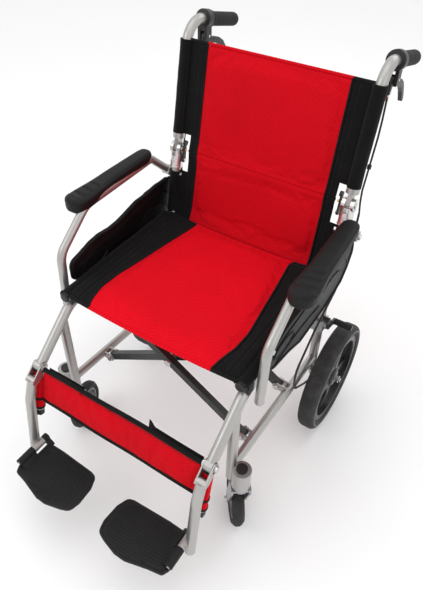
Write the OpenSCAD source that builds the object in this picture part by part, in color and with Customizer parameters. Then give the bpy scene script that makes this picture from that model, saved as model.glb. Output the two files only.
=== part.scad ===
// Folding transport wheelchair with four small wheels, a half-folding back, lift-up arms and
// hinged leg tubes.
// Millimetres. +Z is up, the floor is z = 0, the chair faces -Y and +X is its left side.
// Each side frame lies in a plane of constant X. Side parts are drawn on the left and
// mirrored for the right.

/* [Frame] */
// Distance between the centre lines of the two side frames
track = 430; // [428:1:434]
// Outer radius of the side frame tubes
tube_r = 11; // [10.6:0.1:11]
// Height of the seat rail centre line above the floor
seat_h = 478; // [477:1:480]
// Height of the upper tube of the side frame
side_tube_h = 452; // [450:1:452]
// Height of the back fold axis
back_axis_h = 639; // [638:1:642]
// Sideways offset of the lower brace pivots from the frame plane
ear_reach = 25; // [25:1:26]

/* [Wheels] */
// Outer radius of the rear tyres
rear_r = 145; // [142:0.5:145]
// Width of the rear tyres
rear_w = 44; // [40:1:44]
// Outer radius of the caster tyres
caster_r = 62; // [60:0.5:62]
// Width of the caster tyres
caster_w = 28; // [26:1:28]
// Caster trail, the axle's distance from the swivel axis
caster_trail = 42; // [38:1:42]
// Swivel angle of the left caster at rest, in degrees
caster_turn = 38; // [0:0.5:40]
// Swivel angle of the right caster at rest, in degrees
caster_turn_right = 16; // [0:0.5:20]
// Number of rear wheel spokes
spokes = 5; // [4:1:6]

/* [Cross brace] */
// Height of each brace bar's section
bar_h = 18; // [16:1:18]
// Depth of each brace bar's section
bar_d = 14; // [12:1:14]

/* [Upholstery] */
// Thickness of the seat and back panels
cloth_t = 8; // [6:1:8]

/* [Controls] */
// Radius of the push grips
grip_r = 15; // [14:0.5:15.5]
// Length of the push grips
grip_l = 104; // [98:1:108]

/* [Hidden] */
$fn = 48;
frame_x = track / 2;
upright_y = 36.9;
fit = 0.05;                      // clearance of clamped parts around a tube
pin_r = 4;                       // common pivot pins and bolts
pin_hole_r = pin_r + 0.1;

// Back canes
rake_slope = 0.187;
rake = atan(rake_slope);
back_axis_y = 76;
upright_end = -38;               // top of the rear upright, along the cane from the fold axis
cane_rise = 273;                 // height of the handle corner above the fold axis
handle_slope = 14.2;             // downward slope of the push handles, in degrees
grip_start = 78;                 // front end of the grip, from the handle corner
latch_z = -24;                   // release lever pin, along the cane
latch_pin_r = 2.5;

// Cross brace: bars run straight from a lower pivot to the opposite seat rail
ear_x = frame_x - ear_reach;
ear_z = 229;
rail_x = frame_x - 2;
cross_z = (ear_x * seat_h + rail_x * ear_z) / (ear_x + rail_x);
bar_tilt = atan((cross_z - ear_z) / ear_x);
bar_lower = norm([ear_x, cross_z - ear_z]);
bar_upper = norm([rail_x, seat_h - cross_z]);
brace_y = [-259, -95];
bar_offset = bar_d / 2 + 2;      // from the middle of a crossing to either bar
brace_bolt_r = 5;

// Wheels
hub_y = 58;
wheel_x = frame_x + 47;
axle_r = 6;
swivel_x = frame_x + 25;
swivel_y = -358;
housing_low = 196;
housing_top = 252;
stem_r = 8;

// Legs
hinge_y = -441;
hinge_z = 357;
hinge = [hinge_y, hinge_z];
strap_post_end = [-469.6, 241.6];
foot_x = frame_x - 12;           // footplate hinge
foot_z = 157;
plate_tip_y = -590;              // front corner of the footplate
plate_tip_r = 12;

// Arms and levers
arm_x = frame_x + 26;
arm_pivot_y = 68;
arm_pivot_z = 576;
lever_y = 187;
lever_z = 862;
lever_pin_r = 3;
park_y = 40;
park_z = 330;

// ---------- frames of reference ----------
// point on the cane's centre line in the Y, Z plane, a distance along it from the fold axis
function cane_point(along) = [back_axis_y + along * sin(rake), back_axis_h + along * cos(rake)];
cane_top = [back_axis_y + rake_slope * cane_rise, back_axis_h + cane_rise];
// point on the handle's centre line in the Y, Z plane, a distance behind its corner
function handle_point(along) = cane_top + along * [cos(handle_slope), -sin(handle_slope)];

// shift along Y that puts the origin under the middle of the chair
front_y = plate_tip_y - plate_tip_r;
back_y = handle_point(grip_start + grip_l)[0] + grip_r;
shift_y = -(front_y + back_y) / 2;

module place() { translate([0, shift_y, 0]) children(); }
module right() { place() mirror([1, 0, 0]) children(); }
// turns local X, Y into the chair's Y, Z plane, with local Z along the chair's X
module side_view(x = 0) { translate([x, 0, 0]) rotate([90, 0, 90]) children(); }
// raked frame of the back canes, with its origin on the back fold axis
module on_cane(x = frame_x) {
    translate([x, back_axis_y, back_axis_h]) rotate([-rake, 0, 0]) children();
}
// frame of the handle, with local Z along it
module on_handle(along) {
    point = handle_point(along);
    translate([frame_x, point[0], point[1]]) rotate([-(90 + handle_slope), 0, 0]) children();
}
// frame of a wheel, with local Z along its axle
module wheel_at(x, y, z) { translate([x, y, z]) rotate([0, 90, 0]) children(); }
// frame of a caster, with its origin on the swivel axis
module swivel(turn) { translate([swivel_x, swivel_y, 0]) rotate([0, 0, turn]) children(); }

// ---------- shared shapes ----------
// cylinder along X between x0 and x1
module xcyl(x0, x1, y, z, r) { translate([x0, y, z]) rotate([0, 90, 0]) cylinder(h = x1 - x0, r = r); }
// cylinder along Y between y0 and y1
module ycyl(y0, y1, x, z, r) { translate([x, y0, z]) rotate([-90, 0, 0]) cylinder(h = y1 - y0, r = r); }
// coaxial cylinders; each row is [start, end, radius], with start and end measured from x or y
module xstack(x, y, z, rows) { for (row = rows) xcyl(x + row[0], x + row[1], y, z, row[2]); }
module ystack(y, x, z, rows) { for (row = rows) ycyl(y + row[0], y + row[1], x, z, row[2]); }

function heading(from, to) = atan2(to[1] - from[1], to[0] - from[0]);
function wrap(angle) = angle > 180 ? angle - 360 : angle < -180 ? angle + 360 : angle;
function turn_at(points, i) =
    wrap(heading(points[i], points[i + 1]) - heading(points[i - 1], points[i]));
// distance from a corner to the start of its bend; 0 at the two ends
function setback(points, bends, i) = (i <= 0 || i >= len(points) - 1) ? 0
    : bends[i - 1] * tan(abs(turn_at(points, i)) / 2);

// round tube that follows points in local X, Y, with a bend radius for each inner point.
// Straight lengths run a little way into the bends, which are a hair thicker.
module tube_path(points, bends, r) {
    overlap = 0.8;
    swell = 0.12;
    last = len(points) - 1;
    for (i = [0 : last - 1]) {
        angle = heading(points[i], points[i + 1]);
        start = setback(points, bends, i) - (i > 0 ? overlap : 0);
        end = setback(points, bends, i + 1) - (i < last - 1 ? overlap : 0);
        corner = points[i] + start * [cos(angle), sin(angle)];
        translate([corner[0], corner[1], 0]) rotate([0, 90, angle])
            cylinder(h = norm(points[i + 1] - points[i]) - start - end, r = r);
    }
    if (last > 1) for (i = [1 : last - 1]) {
        angle = heading(points[i - 1], points[i]);
        turn = turn_at(points, i);
        side = turn > 0 ? 1 : -1;
        bend = bends[i - 1];
        centre = points[i] - setback(points, bends, i) * [cos(angle), sin(angle)]
            + side * bend * [-sin(angle), cos(angle)];
        translate([centre[0], centre[1], 0])
            rotate([0, 0, turn > 0 ? angle - 90 : angle + 90 + turn])
            rotate_extrude(angle = abs(turn)) translate([bend, 0]) circle(r = r + swell);
    }
}

// ---------- side frame ----------
axle_plate = [                   // [y, z]
    [23, 222], [51, 222], [52, 190], [75, 152], [72, 134], [44, 134], [26, 175]
];
// one tab pair that holds the lower end of a brace bar
module brace_ear(y) {
    ear_t = 3.5;
    for (side = [-1, 1]) translate([0, y + side * (bar_d / 2 + 2.3) - ear_t / 2, 0]) difference() {
        union() {
            ycyl(0, ear_t, ear_x, ear_z, 10);
            translate([ear_x, ear_t, 0]) rotate([90, 0, 0]) linear_extrude(ear_t)
                polygon([[0, ear_z - 10], [ear_reach, ear_z - 8], [ear_reach, ear_z + 8], [0, ear_z + 10]]);
        }
        ycyl(-3, 5, ear_x, ear_z, pin_hole_r);
    }
}
// welded side frame; layer (-1 front, 1 rear) is that of the brace bar this side holds
module side_frame(layer) {
    color("silver") difference() {
        union() {
            side_view(frame_x) {
                // upper tube, which bends down to the leg clevis
                tube_path([[38, side_tube_h], [-330, side_tube_h], hinge], [55], tube_r);
                // post that holds the calf strap
                tube_path([hinge, strap_post_end], [], 8.5);
                // front post
                tube_path([[swivel_y, 428], [swivel_y, 206]], [], tube_r - 0.2);
                // lower rail
                tube_path([[swivel_y, 238], [upright_y, 210]], [], 10);
                // rear upright
                tube_path([cane_point(upright_end), [upright_y, 430], [upright_y, 190]], [60], tube_r);
            }
            // rear axle plate and boss
            side_view(frame_x - 3) linear_extrude(6) polygon(axle_plate);
            xcyl(frame_x - 4, frame_x + 4, hub_y, rear_r, 17);
            // swivel housing and its web
            translate([swivel_x, swivel_y, housing_low])
                cylinder(h = housing_top - housing_low, r = 20);
            translate([frame_x, swivel_y - 5, housing_low + 12])
                cube([swivel_x - frame_x, 10, 34]);
            for (y = brace_y) brace_ear(y + layer * bar_offset);
            // leg clevis tongue
            xcyl(frame_x - 8.1, frame_x + 8.1, hinge_y, hinge_z, 12.5);
        }
        translate([swivel_x, swivel_y, housing_low - 5]) cylinder(h = 70, r = stem_r + 0.1);
        // flats of the leg clevis tongue
        xstack(frame_x, hinge_y, hinge_z, [[-22, -8.2, 15], [8.2, 22, 15]]);
        // axle and hinge holes
        xcyl(frame_x - 10, frame_x + 10, hub_y, rear_r, axle_r + fit);
        xcyl(frame_x - 30, frame_x + 30, hinge_y, hinge_z, pin_hole_r);
        xcyl(frame_x - 30, frame_x + 30, arm_pivot_y, arm_pivot_z, pin_hole_r);
        // clear way for the brace pins through the tabs
        for (y = brace_y) ycyl(y - 30, y + 30, ear_x, ear_z, pin_hole_r);
    }
}

// ---------- back joint ----------
// fork of the half-folding back, pressed on the rear upright
module cane_joint() {
    color("gainsboro") on_cane() difference() {
        union() {
            translate([0, 0, -46]) cylinder(h = 48, r = 15.2);
            // rounded head of the cheeks
            xcyl(-14.9, 14.9, 0, 0, 14);
        }
        // bore over the upright
        translate([0, 0, -50]) cylinder(h = 12.2, r = tube_r + 0.1);
        // slot for the tongue
        translate([-5.3, -30, -17]) cube([10.6, 60, 60]);
        xcyl(-30, 30, 0, 0, pin_hole_r);
        // flats on the cheeks' outer sides
        for (x = [13.6, -23.6]) translate([x, -30, -10]) cube([10, 60, 40]);
        // pin hole of the release lever
        xcyl(-30, -14, 0, latch_z, latch_pin_r + 0.1);
    }
}
// small release lever on the inboard side of the joint
module joint_latch() {
    outer_x = -21.5;
    inner_x = -17.2;
    arm_l = 40;
    color("#1c1c1c") on_cane() difference() {
        union() {
            xcyl(outer_x, inner_x, 0, latch_z, 7);
            translate([outer_x, -4.5, latch_z]) cube([inner_x - outer_x, 9, arm_l]);
            xcyl(-24, inner_x, 0, latch_z + arm_l, 6);
        }
        xcyl(-30, -10, 0, latch_z, latch_pin_r + 0.1);
    }
}

// ---------- push canes ----------
module upper_cane() {
    tongue_x = 4.9;
    tongue_r = 10;
    color("silver") {
        side_view(frame_x)
            tube_path([cane_point(27), cane_top, handle_point(74 + grip_l)], [46], tube_r);
        on_cane() {
            // ferrule over the lower end of the tube
            translate([0, 0, 25]) cylinder(h = 17, r = 14);
            // tongue with a round end
            difference() {
                union() {
                    xcyl(-tongue_x, tongue_x, 0, 0, tongue_r + 0.2);
                    translate([-tongue_x, -tongue_r, 0]) cube([2 * tongue_x, 2 * tongue_r, 31]);
                }
                xcyl(-10, 10, 0, 0, pin_hole_r);
            }
        }
    }
}
module push_grip() {
    color("#161616") on_handle(grip_start) difference() {
        union() {
            cylinder(h = grip_l, r = grip_r);
            // round rear end and front flange
            translate([0, 0, grip_l]) sphere(r = grip_r);
            cylinder(h = 5, r = grip_r + 2.5);
        }
        translate([0, 0, -1]) cylinder(h = grip_l - 2, r = tube_r + fit);
    }
}

// ---------- hand brakes ----------
finger_grip = [                  // [y, z]
    [184, 869], [190, 868], [197, 859], [206, 853], [226, 850], [243, 844], [260, 833],
    [272, 817], [281, 801], [286, 789], [283, 784], [277, 785], [270, 797], [262, 810],
    [251, 822], [238, 831], [222, 837], [204, 840], [194, 846], [186, 858]
];
cable_arm = [                    // [y, z]
    [181, 868], [193, 868], [190, 852], [183, 835], [176, 832], [172, 837], [176, 850]
];
cable_path = [                   // [y, z]
    [111.3, 600], [107, 500], [62, 425], [-30, 372],
    [-112, 300], [-104, 236], [-40, 190], [6, 163]
];
cable_bends = [90, 60, 60, 45, 40, 70];
module brake_clamp() {
    color("#202020") difference() {
        union() {
            on_handle(54) cylinder(h = 18, r = 19.5);
            // ears that hold the lever
            for (x = [-12, 5]) translate([frame_x + x, lever_y - 10, lever_z - 10])
                cube([7, 20, 34]);
        }
        on_handle(40) cylinder(h = 60, r = tube_r + fit);
        xcyl(frame_x - 40, frame_x + 40, lever_y, lever_z, lever_pin_r + 0.1);
    }
}
// moulded lever: a long finger grip behind the pivot and a short cable arm below it
module brake_lever() {
    color("#2b2b2b") {
        side_view(frame_x - 4.5) linear_extrude(9) polygon(finger_grip);
        side_view(frame_x - 3.5) linear_extrude(7) polygon(cable_arm);
        // hub, and the pin that turns in the clamp's ears
        xstack(frame_x, lever_y, lever_z, [[-4.6, 4.6, 7.5], [-13.5, 13.5, lever_pin_r]]);
    }
}
// lower run of the brake cable, from the back joint to the band brake
module brake_cable() {
    color("#111111") side_view(frame_x + 14.5) tube_path(cable_path, cable_bends, 2.5);
}

// ---------- arms ----------
arm_front = [-315, 430];
arm_path = [[62, 581], [4, 634], [-218, 628], [-307, 556], arm_front];   // [y, z]
arm_bends = [25, 40, 45];
arm_r = 9.5;
arm_eye_r = 12;
panel_outline = [                // [y, z]
    [96, 538], [88, 556], [55, 563], [10, 566], [-34, 561], [-66, 561], [-100, 553],
    [-132, 545], [-165, 543], [-203, 547], [-232, 544], [-262, 535], [-288, 529],
    [-296, 521], [-296, 488], [-289, 480], [-262, 466], [-197, 452], [-144, 432],
    [-20, 436], [60, 452], [86, 482], [100, 516]
];
panel_pocket = [                 // [y, z]
    [62, 543], [0, 547], [-70, 541], [-140, 527], [-210, 529],
    [-268, 515], [-268, 490], [-190, 470], [-30, 455], [50, 470]
];
module arm_tube() {
    color("silver") difference() {
        union() {
            side_view(arm_x) {
                tube_path(arm_path, arm_bends, arm_r);
                // round front end
                translate([arm_front[0], arm_front[1], 0]) sphere(r = arm_r + 0.2);
            }
            // pivot eye
            xcyl(frame_x + 14.6, frame_x + 36, arm_pivot_y, arm_pivot_z, arm_eye_r);
        }
        xcyl(frame_x, frame_x + 60, arm_pivot_y, arm_pivot_z, pin_hole_r);
    }
}
// plan outline of the arm pad, which widens towards the front
module pad_plan() {
    hull() {
        translate([40, -8]) circle(r = 16);
        translate([40, -140]) circle(r = 22);
        translate([32, -8]) circle(r = 16);
    }
    hull() {
        translate([39, -140]) circle(r = 22);
        translate([42, -221]) circle(r = 27);
    }
}
module arm_pad() {
    color("#1a1a1a") difference() {
        translate([frame_x, 0, 633.9]) rotate([1.55, 0, 0]) linear_extrude(21) pad_plan();
        // the pad sits on the tube
        side_view(arm_x) tube_path(arm_path, arm_bends, arm_r + 0.4);
    }
}
// moulded panel under the arm
module side_panel() {
    color("#171717") side_view(frame_x + 15.5) difference() {
        linear_extrude(8) polygon(panel_outline);
        // shallow pocket that leaves a raised border on the outer face
        translate([0, 0, 5.5]) linear_extrude(4) polygon(panel_pocket);
        // room for the arm's pivot eye
        translate([arm_pivot_y, arm_pivot_z, -1]) cylinder(h = 20, r = arm_eye_r + 0.6);
    }
}

// ---------- seat rails and brace ----------
module seat_rail() {
    color("silver") ycyl(-340, 22, rail_x, seat_h, tube_r);
}
// one brace bar, drawn along X with its crossing at the origin, then tilted
module brace_bar(y) {
    translate([0, y, cross_z]) rotate([0, bar_tilt, 0]) difference() {
        union() {
            translate([-bar_upper, -bar_d / 2, -bar_h / 2])
                cube([bar_upper + bar_lower, bar_d, bar_h]);
            ycyl(-bar_d / 2, bar_d / 2, bar_lower, 0, bar_h / 2);
        }
        // saddle end on the seat rail, lower pin hole, centre hole
        ycyl(-20, 20, -bar_upper, 0, tube_r + fit);
        ycyl(-20, 20, bar_lower, 0, pin_hole_r);
        ycyl(-20, 20, 0, 0, brace_bolt_r + 0.1);
    }
}
module cross_brace(layer) {
    color("#1b1b1b") for (y = brace_y) brace_bar(y + layer * bar_offset);
}
// centre bolts, each with two heads and a spacer between the bars
module brace_bolts() {
    color("lightgray") for (y = brace_y) ystack(y, 0, cross_z, [
        [-bar_d - 4, bar_d + 4, brace_bolt_r],
        [-bar_d - 7, -bar_d - 2.2, 8],
        [-1.8, 1.8, 9],
        [bar_d + 2.2, bar_d + 7, 8]
    ]);
}

// ---------- rear wheels ----------
rear_rim_profile = [             // [radius, offset along the axle]
    [axle_r + 0.1, -9], [20, -9], [24, 2], [98, 2], [103, -17], [118.8, -17],
    [118.8, 17], [103, 17], [99, 10], [24, 10], [20, 17], [axle_r + 0.1, 17]
];
module rear_tyre() {
    half = rear_w / 2;
    color("#3a3a3c") wheel_at(wheel_x, hub_y, rear_r) rotate_extrude() polygon([
        [119, -half + 4], [124, -half], [135, -half], [142, -half + 5], [rear_r, -half + 13],
        [rear_r, half - 13], [142, half - 5], [135, half], [124, half], [119, half - 4]
    ]);
}
module rear_rim() {
    // each window is a wedge with its tip at wedge_tip, cut from a ring between hub and rim
    wedge_tip = 16;
    wedge_end = 150;
    wedge_half = (wedge_end - wedge_tip) * tan(126 / spokes);
    color("#1d1d1f") wheel_at(wheel_x, hub_y, rear_r) difference() {
        rotate_extrude() polygon(rear_rim_profile);
        for (i = [0 : spokes - 1]) rotate([0, 0, 360 * i / spokes]) intersection() {
            difference() {
                translate([0, 0, -20]) cylinder(h = 50, r = 94);
                translate([0, 0, -30]) cylinder(h = 70, r = 34);
            }
            translate([0, 0, -20]) linear_extrude(50)
                polygon([[wedge_tip, 0], [wedge_end, wedge_half], [wedge_end, -wedge_half]]);
        }
    }
}
// axle with a head inboard, a collar outboard of the plate and a nut outside the rim
module rear_axle() {
    color("lightgray") xstack(frame_x, hub_y, rear_r,
        [[-8, 76, axle_r], [-10, -4.2, 10], [4.2, 15, 9], [66, 72, 9.5]]);
}
module band_brake() {
    color("#26262a") difference() {
        union() {
            xcyl(frame_x + 18, frame_x + 35, hub_y, rear_r, 42);
            // cable stop
            translate([frame_x + 10, 8, 148]) cube([12, 14, 16]);
        }
        xcyl(frame_x, frame_x + 60, hub_y, rear_r, 9.2);
    }
}

// ---------- casters ----------
fork_half = caster_w / 2 + 7;    // outer half-width of the fork
fork_t = 4;
crown_low = housing_low - 10;
crown_t = 6;
crown_top = crown_low + crown_t;
caster_bore_r = pin_r + 0.15;
caster_rim_profile = [           // [radius, offset along the axle]
    [caster_bore_r, -14], [13, -14], [16, -5], [38, -5], [41, -11], [45.8, -11],
    [45.8, 11], [41, 11], [38, 5], [16, 5], [13, 14], [caster_bore_r, 14]
];
module caster_fork(turn) {
    color("dimgray") swivel(turn) {
        // stem and crown
        translate([0, 0, crown_low]) cylinder(h = 58, r = stem_r);
        translate([0, 0, crown_low]) cylinder(h = crown_t, r = 18);
        translate([-fork_half, -15, crown_low]) cube([2 * fork_half, 30, crown_t]);
        // legs
        for (side = [-1, 1])
            side_view(side * (fork_half - fork_t / 2) - fork_t / 2) difference() {
                union() {
                    linear_extrude(fork_t) polygon([
                        [-15, crown_top], [15, crown_top], [15, housing_low - 14],
                        [caster_trail + 9, caster_r + 20], [caster_trail + 9, caster_r],
                        [caster_trail - 9, caster_r], [-15, housing_low - 18]
                    ]);
                    translate([caster_trail, caster_r, 0]) cylinder(h = fork_t, r = 9);
                }
                translate([caster_trail, caster_r, -1]) cylinder(h = fork_t + 2, r = pin_hole_r);
            }
    }
}
module caster_tyre(turn) {
    half = caster_w / 2;
    color("#222224") swivel(turn) wheel_at(0, caster_trail, caster_r) rotate_extrude() polygon([
        [46, -half + 2], [52, -half], [58, -half + 4], [caster_r, -5],
        [caster_r, 5], [58, half - 4], [52, half], [46, half - 2]
    ]);
}
module caster_rim(turn) {
    color("#8a8d90") swivel(turn) wheel_at(0, caster_trail, caster_r)
        rotate_extrude() polygon(caster_rim_profile);
}
module caster_axle(turn) {
    color("lightgray") swivel(turn) xstack(0, caster_trail, caster_r, [
        [-fork_half - 4, fork_half + 4, pin_r],
        [-fork_half - 5, -fork_half - 0.2, 7],
        [fork_half + 0.2, fork_half + 5, 7]
    ]);
}

// ---------- leg tubes and footplates ----------
leg_top = [-468, 338];
cheek_x = 11.4;                  // outer face of the clevis cheeks, from the frame plane
cheek_t = 2.8;
cheek_outline = [                // [y, z]
    hinge + [4, 10], hinge + [11, 0], hinge + [4, -11],
    leg_top + [8, -8], leg_top + [-4, -9], leg_top + [-10, 2], hinge + [-7, 10]
];
module leg_tube() {
    cheeks = [-cheek_x, cheek_x - cheek_t];
    color("silver") difference() {
        union() {
            side_view(frame_x) {
                tube_path([leg_top, [-486, 292], [-509.8, 138]], [60], tube_r);
                for (x = cheeks) translate([0, 0, x]) linear_extrude(cheek_t)
                    polygon(cheek_outline);
            }
            xcyl(frame_x - cheek_x, frame_x + cheek_x, leg_top[0], leg_top[1], 9);
            for (x = cheeks) xcyl(frame_x + x, frame_x + x + cheek_t, hinge_y, hinge_z, 11);
            // lug that carries the footplate
            ycyl(-524, -494.5, foot_x, foot_z, 9);
            translate([foot_x, -518, foot_z - 9]) cube([12, 18, 18]);
        }
        xcyl(frame_x - 30, frame_x + 30, hinge_y, hinge_z, pin_hole_r);
        ycyl(-540, -480, foot_x, foot_z, pin_hole_r);
    }
}
module footplate() {
    plate_z = 141;
    plate_t = 9;
    color("#1f1f20") {
        difference() {
            translate([0, 0, plate_z]) linear_extrude(plate_t) hull() {
                translate([frame_x - 46, -506]) circle(r = 20);
                translate([frame_x - 156, -516]) circle(r = 24);
                translate([frame_x - 162, -574]) circle(r = 18);
                translate([frame_x - 90, plate_tip_y]) circle(r = plate_tip_r);
                translate([frame_x - 28, -566]) circle(r = 18);
            }
            // clearance around the leg tube and its lug
            translate([frame_x - 27, -527, 130]) cube([40, 60, 30]);
            // grooves across the top
            for (i = [0 : 12])
                translate([frame_x - 152, -578 + i * 6.4, plate_z + plate_t - 1.4])
                    cube([108, 2.6, 3]);
        }
        // knuckles in front of and behind the lug, as [front y, rear y]
        for (span = [[-567, -524.5], [-494, -480]]) {
            ycyl(span[0], span[1], foot_x, foot_z, 9);
            translate([foot_x - 18, span[0], 143]) cube([18, span[1] - span[0], 14]);
        }
        // hinge pin
        ycyl(-568.5, -478.5, foot_x, foot_z, pin_r);
    }
}

// ---------- parking brakes ----------
park_lever_outline = [           // [y, z]
    [30, 326], [34, 320], [44, 319], [60, 312], [76, 305], [84, 307], [86, 315], [80, 320],
    [62, 327], [50, 336], [44, 344], [32, 352], [20, 366], [6, 384], [-2, 388], [-6, 383],
    [-2, 374], [12, 358], [24, 344], [28, 336]
];
module park_brake_base() {
    color("gray") difference() {
        union() {
            translate([frame_x - 14, upright_y - 16, park_z - 16]) cube([28, 32, 32]);
            xcyl(frame_x + 10, frame_x + 19, park_y, park_z, 12);
        }
        translate([frame_x, upright_y, 300]) cylinder(h = 60, r = tube_r + fit);
        xcyl(frame_x + 11.3, frame_x + 30, park_y, park_z, pin_hole_r);
    }
}
// one flat arm: hand lever in front, tyre arm behind
module park_brake_lever() {
    color("#141414") {
        side_view(frame_x + 19.4) linear_extrude(5) polygon(park_lever_outline);
        // hub and pivot pin
        xstack(frame_x, park_y, park_z, [[19.2, 25.5, 10], [12, 28, pin_r]]);
        // hand grip
        xcyl(frame_x + 19, frame_x + 34, -2, 384, 7);
        // bar over the tyre
        xcyl(frame_x + 22, frame_x + 68, 78, 312, 7);
    }
}

// ---------- plugs, saddles and bolts of a side frame ----------
module frame_plugs() {
    color("#151515") {
        // cap of the swivel housing
        translate([swivel_x, swivel_y, housing_top + 0.1]) cylinder(h = 4, r = 11.9);
        // hexagonal stop at the lower end of the strap post
        side_view(frame_x) translate([-469.7, 241.2, 0]) rotate([90, 0, -13.9])
            translate([0, 0, 0.6]) cylinder(h = 12, r = 10, $fn = 6);
        // saddles under the seat rail
        for (y = [-334, -40]) difference() {
            translate([frame_x - 11, y, side_tube_h + 2]) cube([23, 20, seat_h - side_tube_h + 2]);
            ycyl(y - 5, y + 30, frame_x, side_tube_h, tube_r + 0.1);
            ycyl(y - 5, y + 30, rail_x, seat_h, tube_r + 0.7);
            translate([rail_x - 30, y - 1, seat_h - 1]) cube([35, 30, 30]);
        }
    }
}
module frame_bolts(layer) {
    ear_out = bar_d / 2 + 4.3;   // inner face of the brace pin heads
    color("lightgray") {
        // leg clevis
        xstack(frame_x, hinge_y, hinge_z, [[-13.5, 15, pin_r], [-15, -11.6, 7], [11.6, 16.5, 7]]);
        // arm pivot
        xstack(frame_x, arm_pivot_y, arm_pivot_z,
            [[-15, 39, pin_r], [-18, -11.3, 7], [11.3, 14.2, 8], [36.3, 41, 7]]);
        on_cane() {
            // back joint pin
            xstack(0, 0, 0, [[-15, 15, pin_r], [13.7, 16, 6.5], [-16, -13.7, 6.5]]);
            // pin of the release lever
            xstack(0, 0, latch_z, [[-23, -14.5, latch_pin_r], [-23.8, -21.8, 4.5]]);
        }
        // lower brace pins
        for (y = brace_y) ystack(y + layer * bar_offset, ear_x, ear_z, [
            [-bar_d / 2 - 7, bar_d / 2 + 7, pin_r],
            [-bar_d / 2 - 9, -ear_out, 7],
            [ear_out, bar_d / 2 + 9, 7]
        ]);
    }
}

// ---------- upholstery ----------
// back panel between two distances along the canes
module back_panel(low, high) {
    on_cane(0) translate([-frame_x + 25, -cloth_t / 2, low])
        cube([2 * frame_x - 50, cloth_t, high - low]);
}
module seat_sling() {
    color("red") translate([-rail_x + 13, -336, seat_h + 3]) cube([2 * rail_x - 26, 357, cloth_t]);
}
module back_upper() { color("red") back_panel(6, 234); }
module back_lower() { color("red") back_panel(-170, -6); }
module calf_strap() {
    color("red") translate([0, -452, 316]) rotate([-14, 0, 0])
        translate([-frame_x + 26, -3, -42]) cube([2 * frame_x - 52, 6, 84]);
}

place() side_frame(-1);  // side_frame_left
right() side_frame(1);  // side_frame_right
place() cane_joint();  // cane_joint_left
right() cane_joint();  // cane_joint_right
place() upper_cane();  // upper_cane_left
right() upper_cane();  // upper_cane_right
place() joint_latch();  // joint_latch_left
right() joint_latch();  // joint_latch_right
place() push_grip();  // push_grip_left
right() push_grip();  // push_grip_right
place() brake_clamp();  // brake_clamp_left
right() brake_clamp();  // brake_clamp_right
place() brake_lever();  // brake_lever_left
right() brake_lever();  // brake_lever_right
place() brake_cable();  // brake_cable_left
right() brake_cable();  // brake_cable_right
place() arm_tube();  // arm_tube_left
right() arm_tube();  // arm_tube_right
place() arm_pad();  // arm_pad_left
right() arm_pad();  // arm_pad_right
place() side_panel();  // side_panel_left
right() side_panel();  // side_panel_right
place() seat_rail();  // seat_rail_left
right() seat_rail();  // seat_rail_right
place() cross_brace(-1);  // cross_brace_a
right() cross_brace(1);  // cross_brace_b
place() brace_bolts();
place() rear_tyre();  // rear_tyre_left
right() rear_tyre();  // rear_tyre_right
place() rear_rim();  // rear_rim_left
right() rear_rim();  // rear_rim_right
place() rear_axle();  // rear_axle_left
right() rear_axle();  // rear_axle_right
place() band_brake();  // band_brake_left
right() band_brake();  // band_brake_right
place() caster_fork(caster_turn);  // caster_fork_left
right() caster_fork(-caster_turn_right);  // caster_fork_right
place() caster_tyre(caster_turn);  // caster_tyre_left
right() caster_tyre(-caster_turn_right);  // caster_tyre_right
place() caster_rim(caster_turn);  // caster_rim_left
right() caster_rim(-caster_turn_right);  // caster_rim_right
place() caster_axle(caster_turn);  // caster_axle_left
right() caster_axle(-caster_turn_right);  // caster_axle_right
place() leg_tube();  // leg_tube_left
right() leg_tube();  // leg_tube_right
place() footplate();  // footplate_left
right() footplate();  // footplate_right
place() park_brake_base();  // park_brake_base_left
right() park_brake_base();  // park_brake_base_right
place() park_brake_lever();  // park_brake_lever_left
right() park_brake_lever();  // park_brake_lever_right
place() frame_plugs();  // frame_plugs_left
right() frame_plugs();  // frame_plugs_right
place() frame_bolts(-1);  // frame_bolts_left
right() frame_bolts(1);  // frame_bolts_right
place() seat_sling();
place() back_upper();
place() back_lower();
place() calf_strap();
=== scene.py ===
"""A folding wheelchair with two large rear wheels, two casters and a red mesh seat and back.

Sizes are in the chair's millimetres: +x is the sitter's left, -y the front and +z up. point()
turns them into the frame's metres. Materials, mesh offsets from a surface or path and the stage
are in metres. "sign" is 1 on the left side and -1 on the right.
"""

import math

import bmesh
import bpy
import numpy as np
from mathutils import Matrix, Vector, noise


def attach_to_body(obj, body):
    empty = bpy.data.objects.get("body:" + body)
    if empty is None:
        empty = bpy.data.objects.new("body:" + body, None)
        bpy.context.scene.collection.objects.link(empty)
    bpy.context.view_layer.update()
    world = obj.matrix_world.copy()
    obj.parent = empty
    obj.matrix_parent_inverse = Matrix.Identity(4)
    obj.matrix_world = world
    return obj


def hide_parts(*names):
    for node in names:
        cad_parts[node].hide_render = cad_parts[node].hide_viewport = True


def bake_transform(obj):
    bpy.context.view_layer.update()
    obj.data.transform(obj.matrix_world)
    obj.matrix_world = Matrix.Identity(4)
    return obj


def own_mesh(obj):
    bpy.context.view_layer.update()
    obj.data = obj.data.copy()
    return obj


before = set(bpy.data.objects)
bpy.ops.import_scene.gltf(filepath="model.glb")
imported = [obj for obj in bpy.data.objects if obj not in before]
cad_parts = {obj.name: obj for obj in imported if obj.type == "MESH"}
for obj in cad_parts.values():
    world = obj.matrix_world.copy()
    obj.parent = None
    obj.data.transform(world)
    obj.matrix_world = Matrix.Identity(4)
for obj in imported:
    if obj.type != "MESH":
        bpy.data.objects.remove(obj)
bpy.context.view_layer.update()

SIDES = ((1, "left"), (-1, "right"))
UP = Vector((0, 0, 1))

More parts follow.
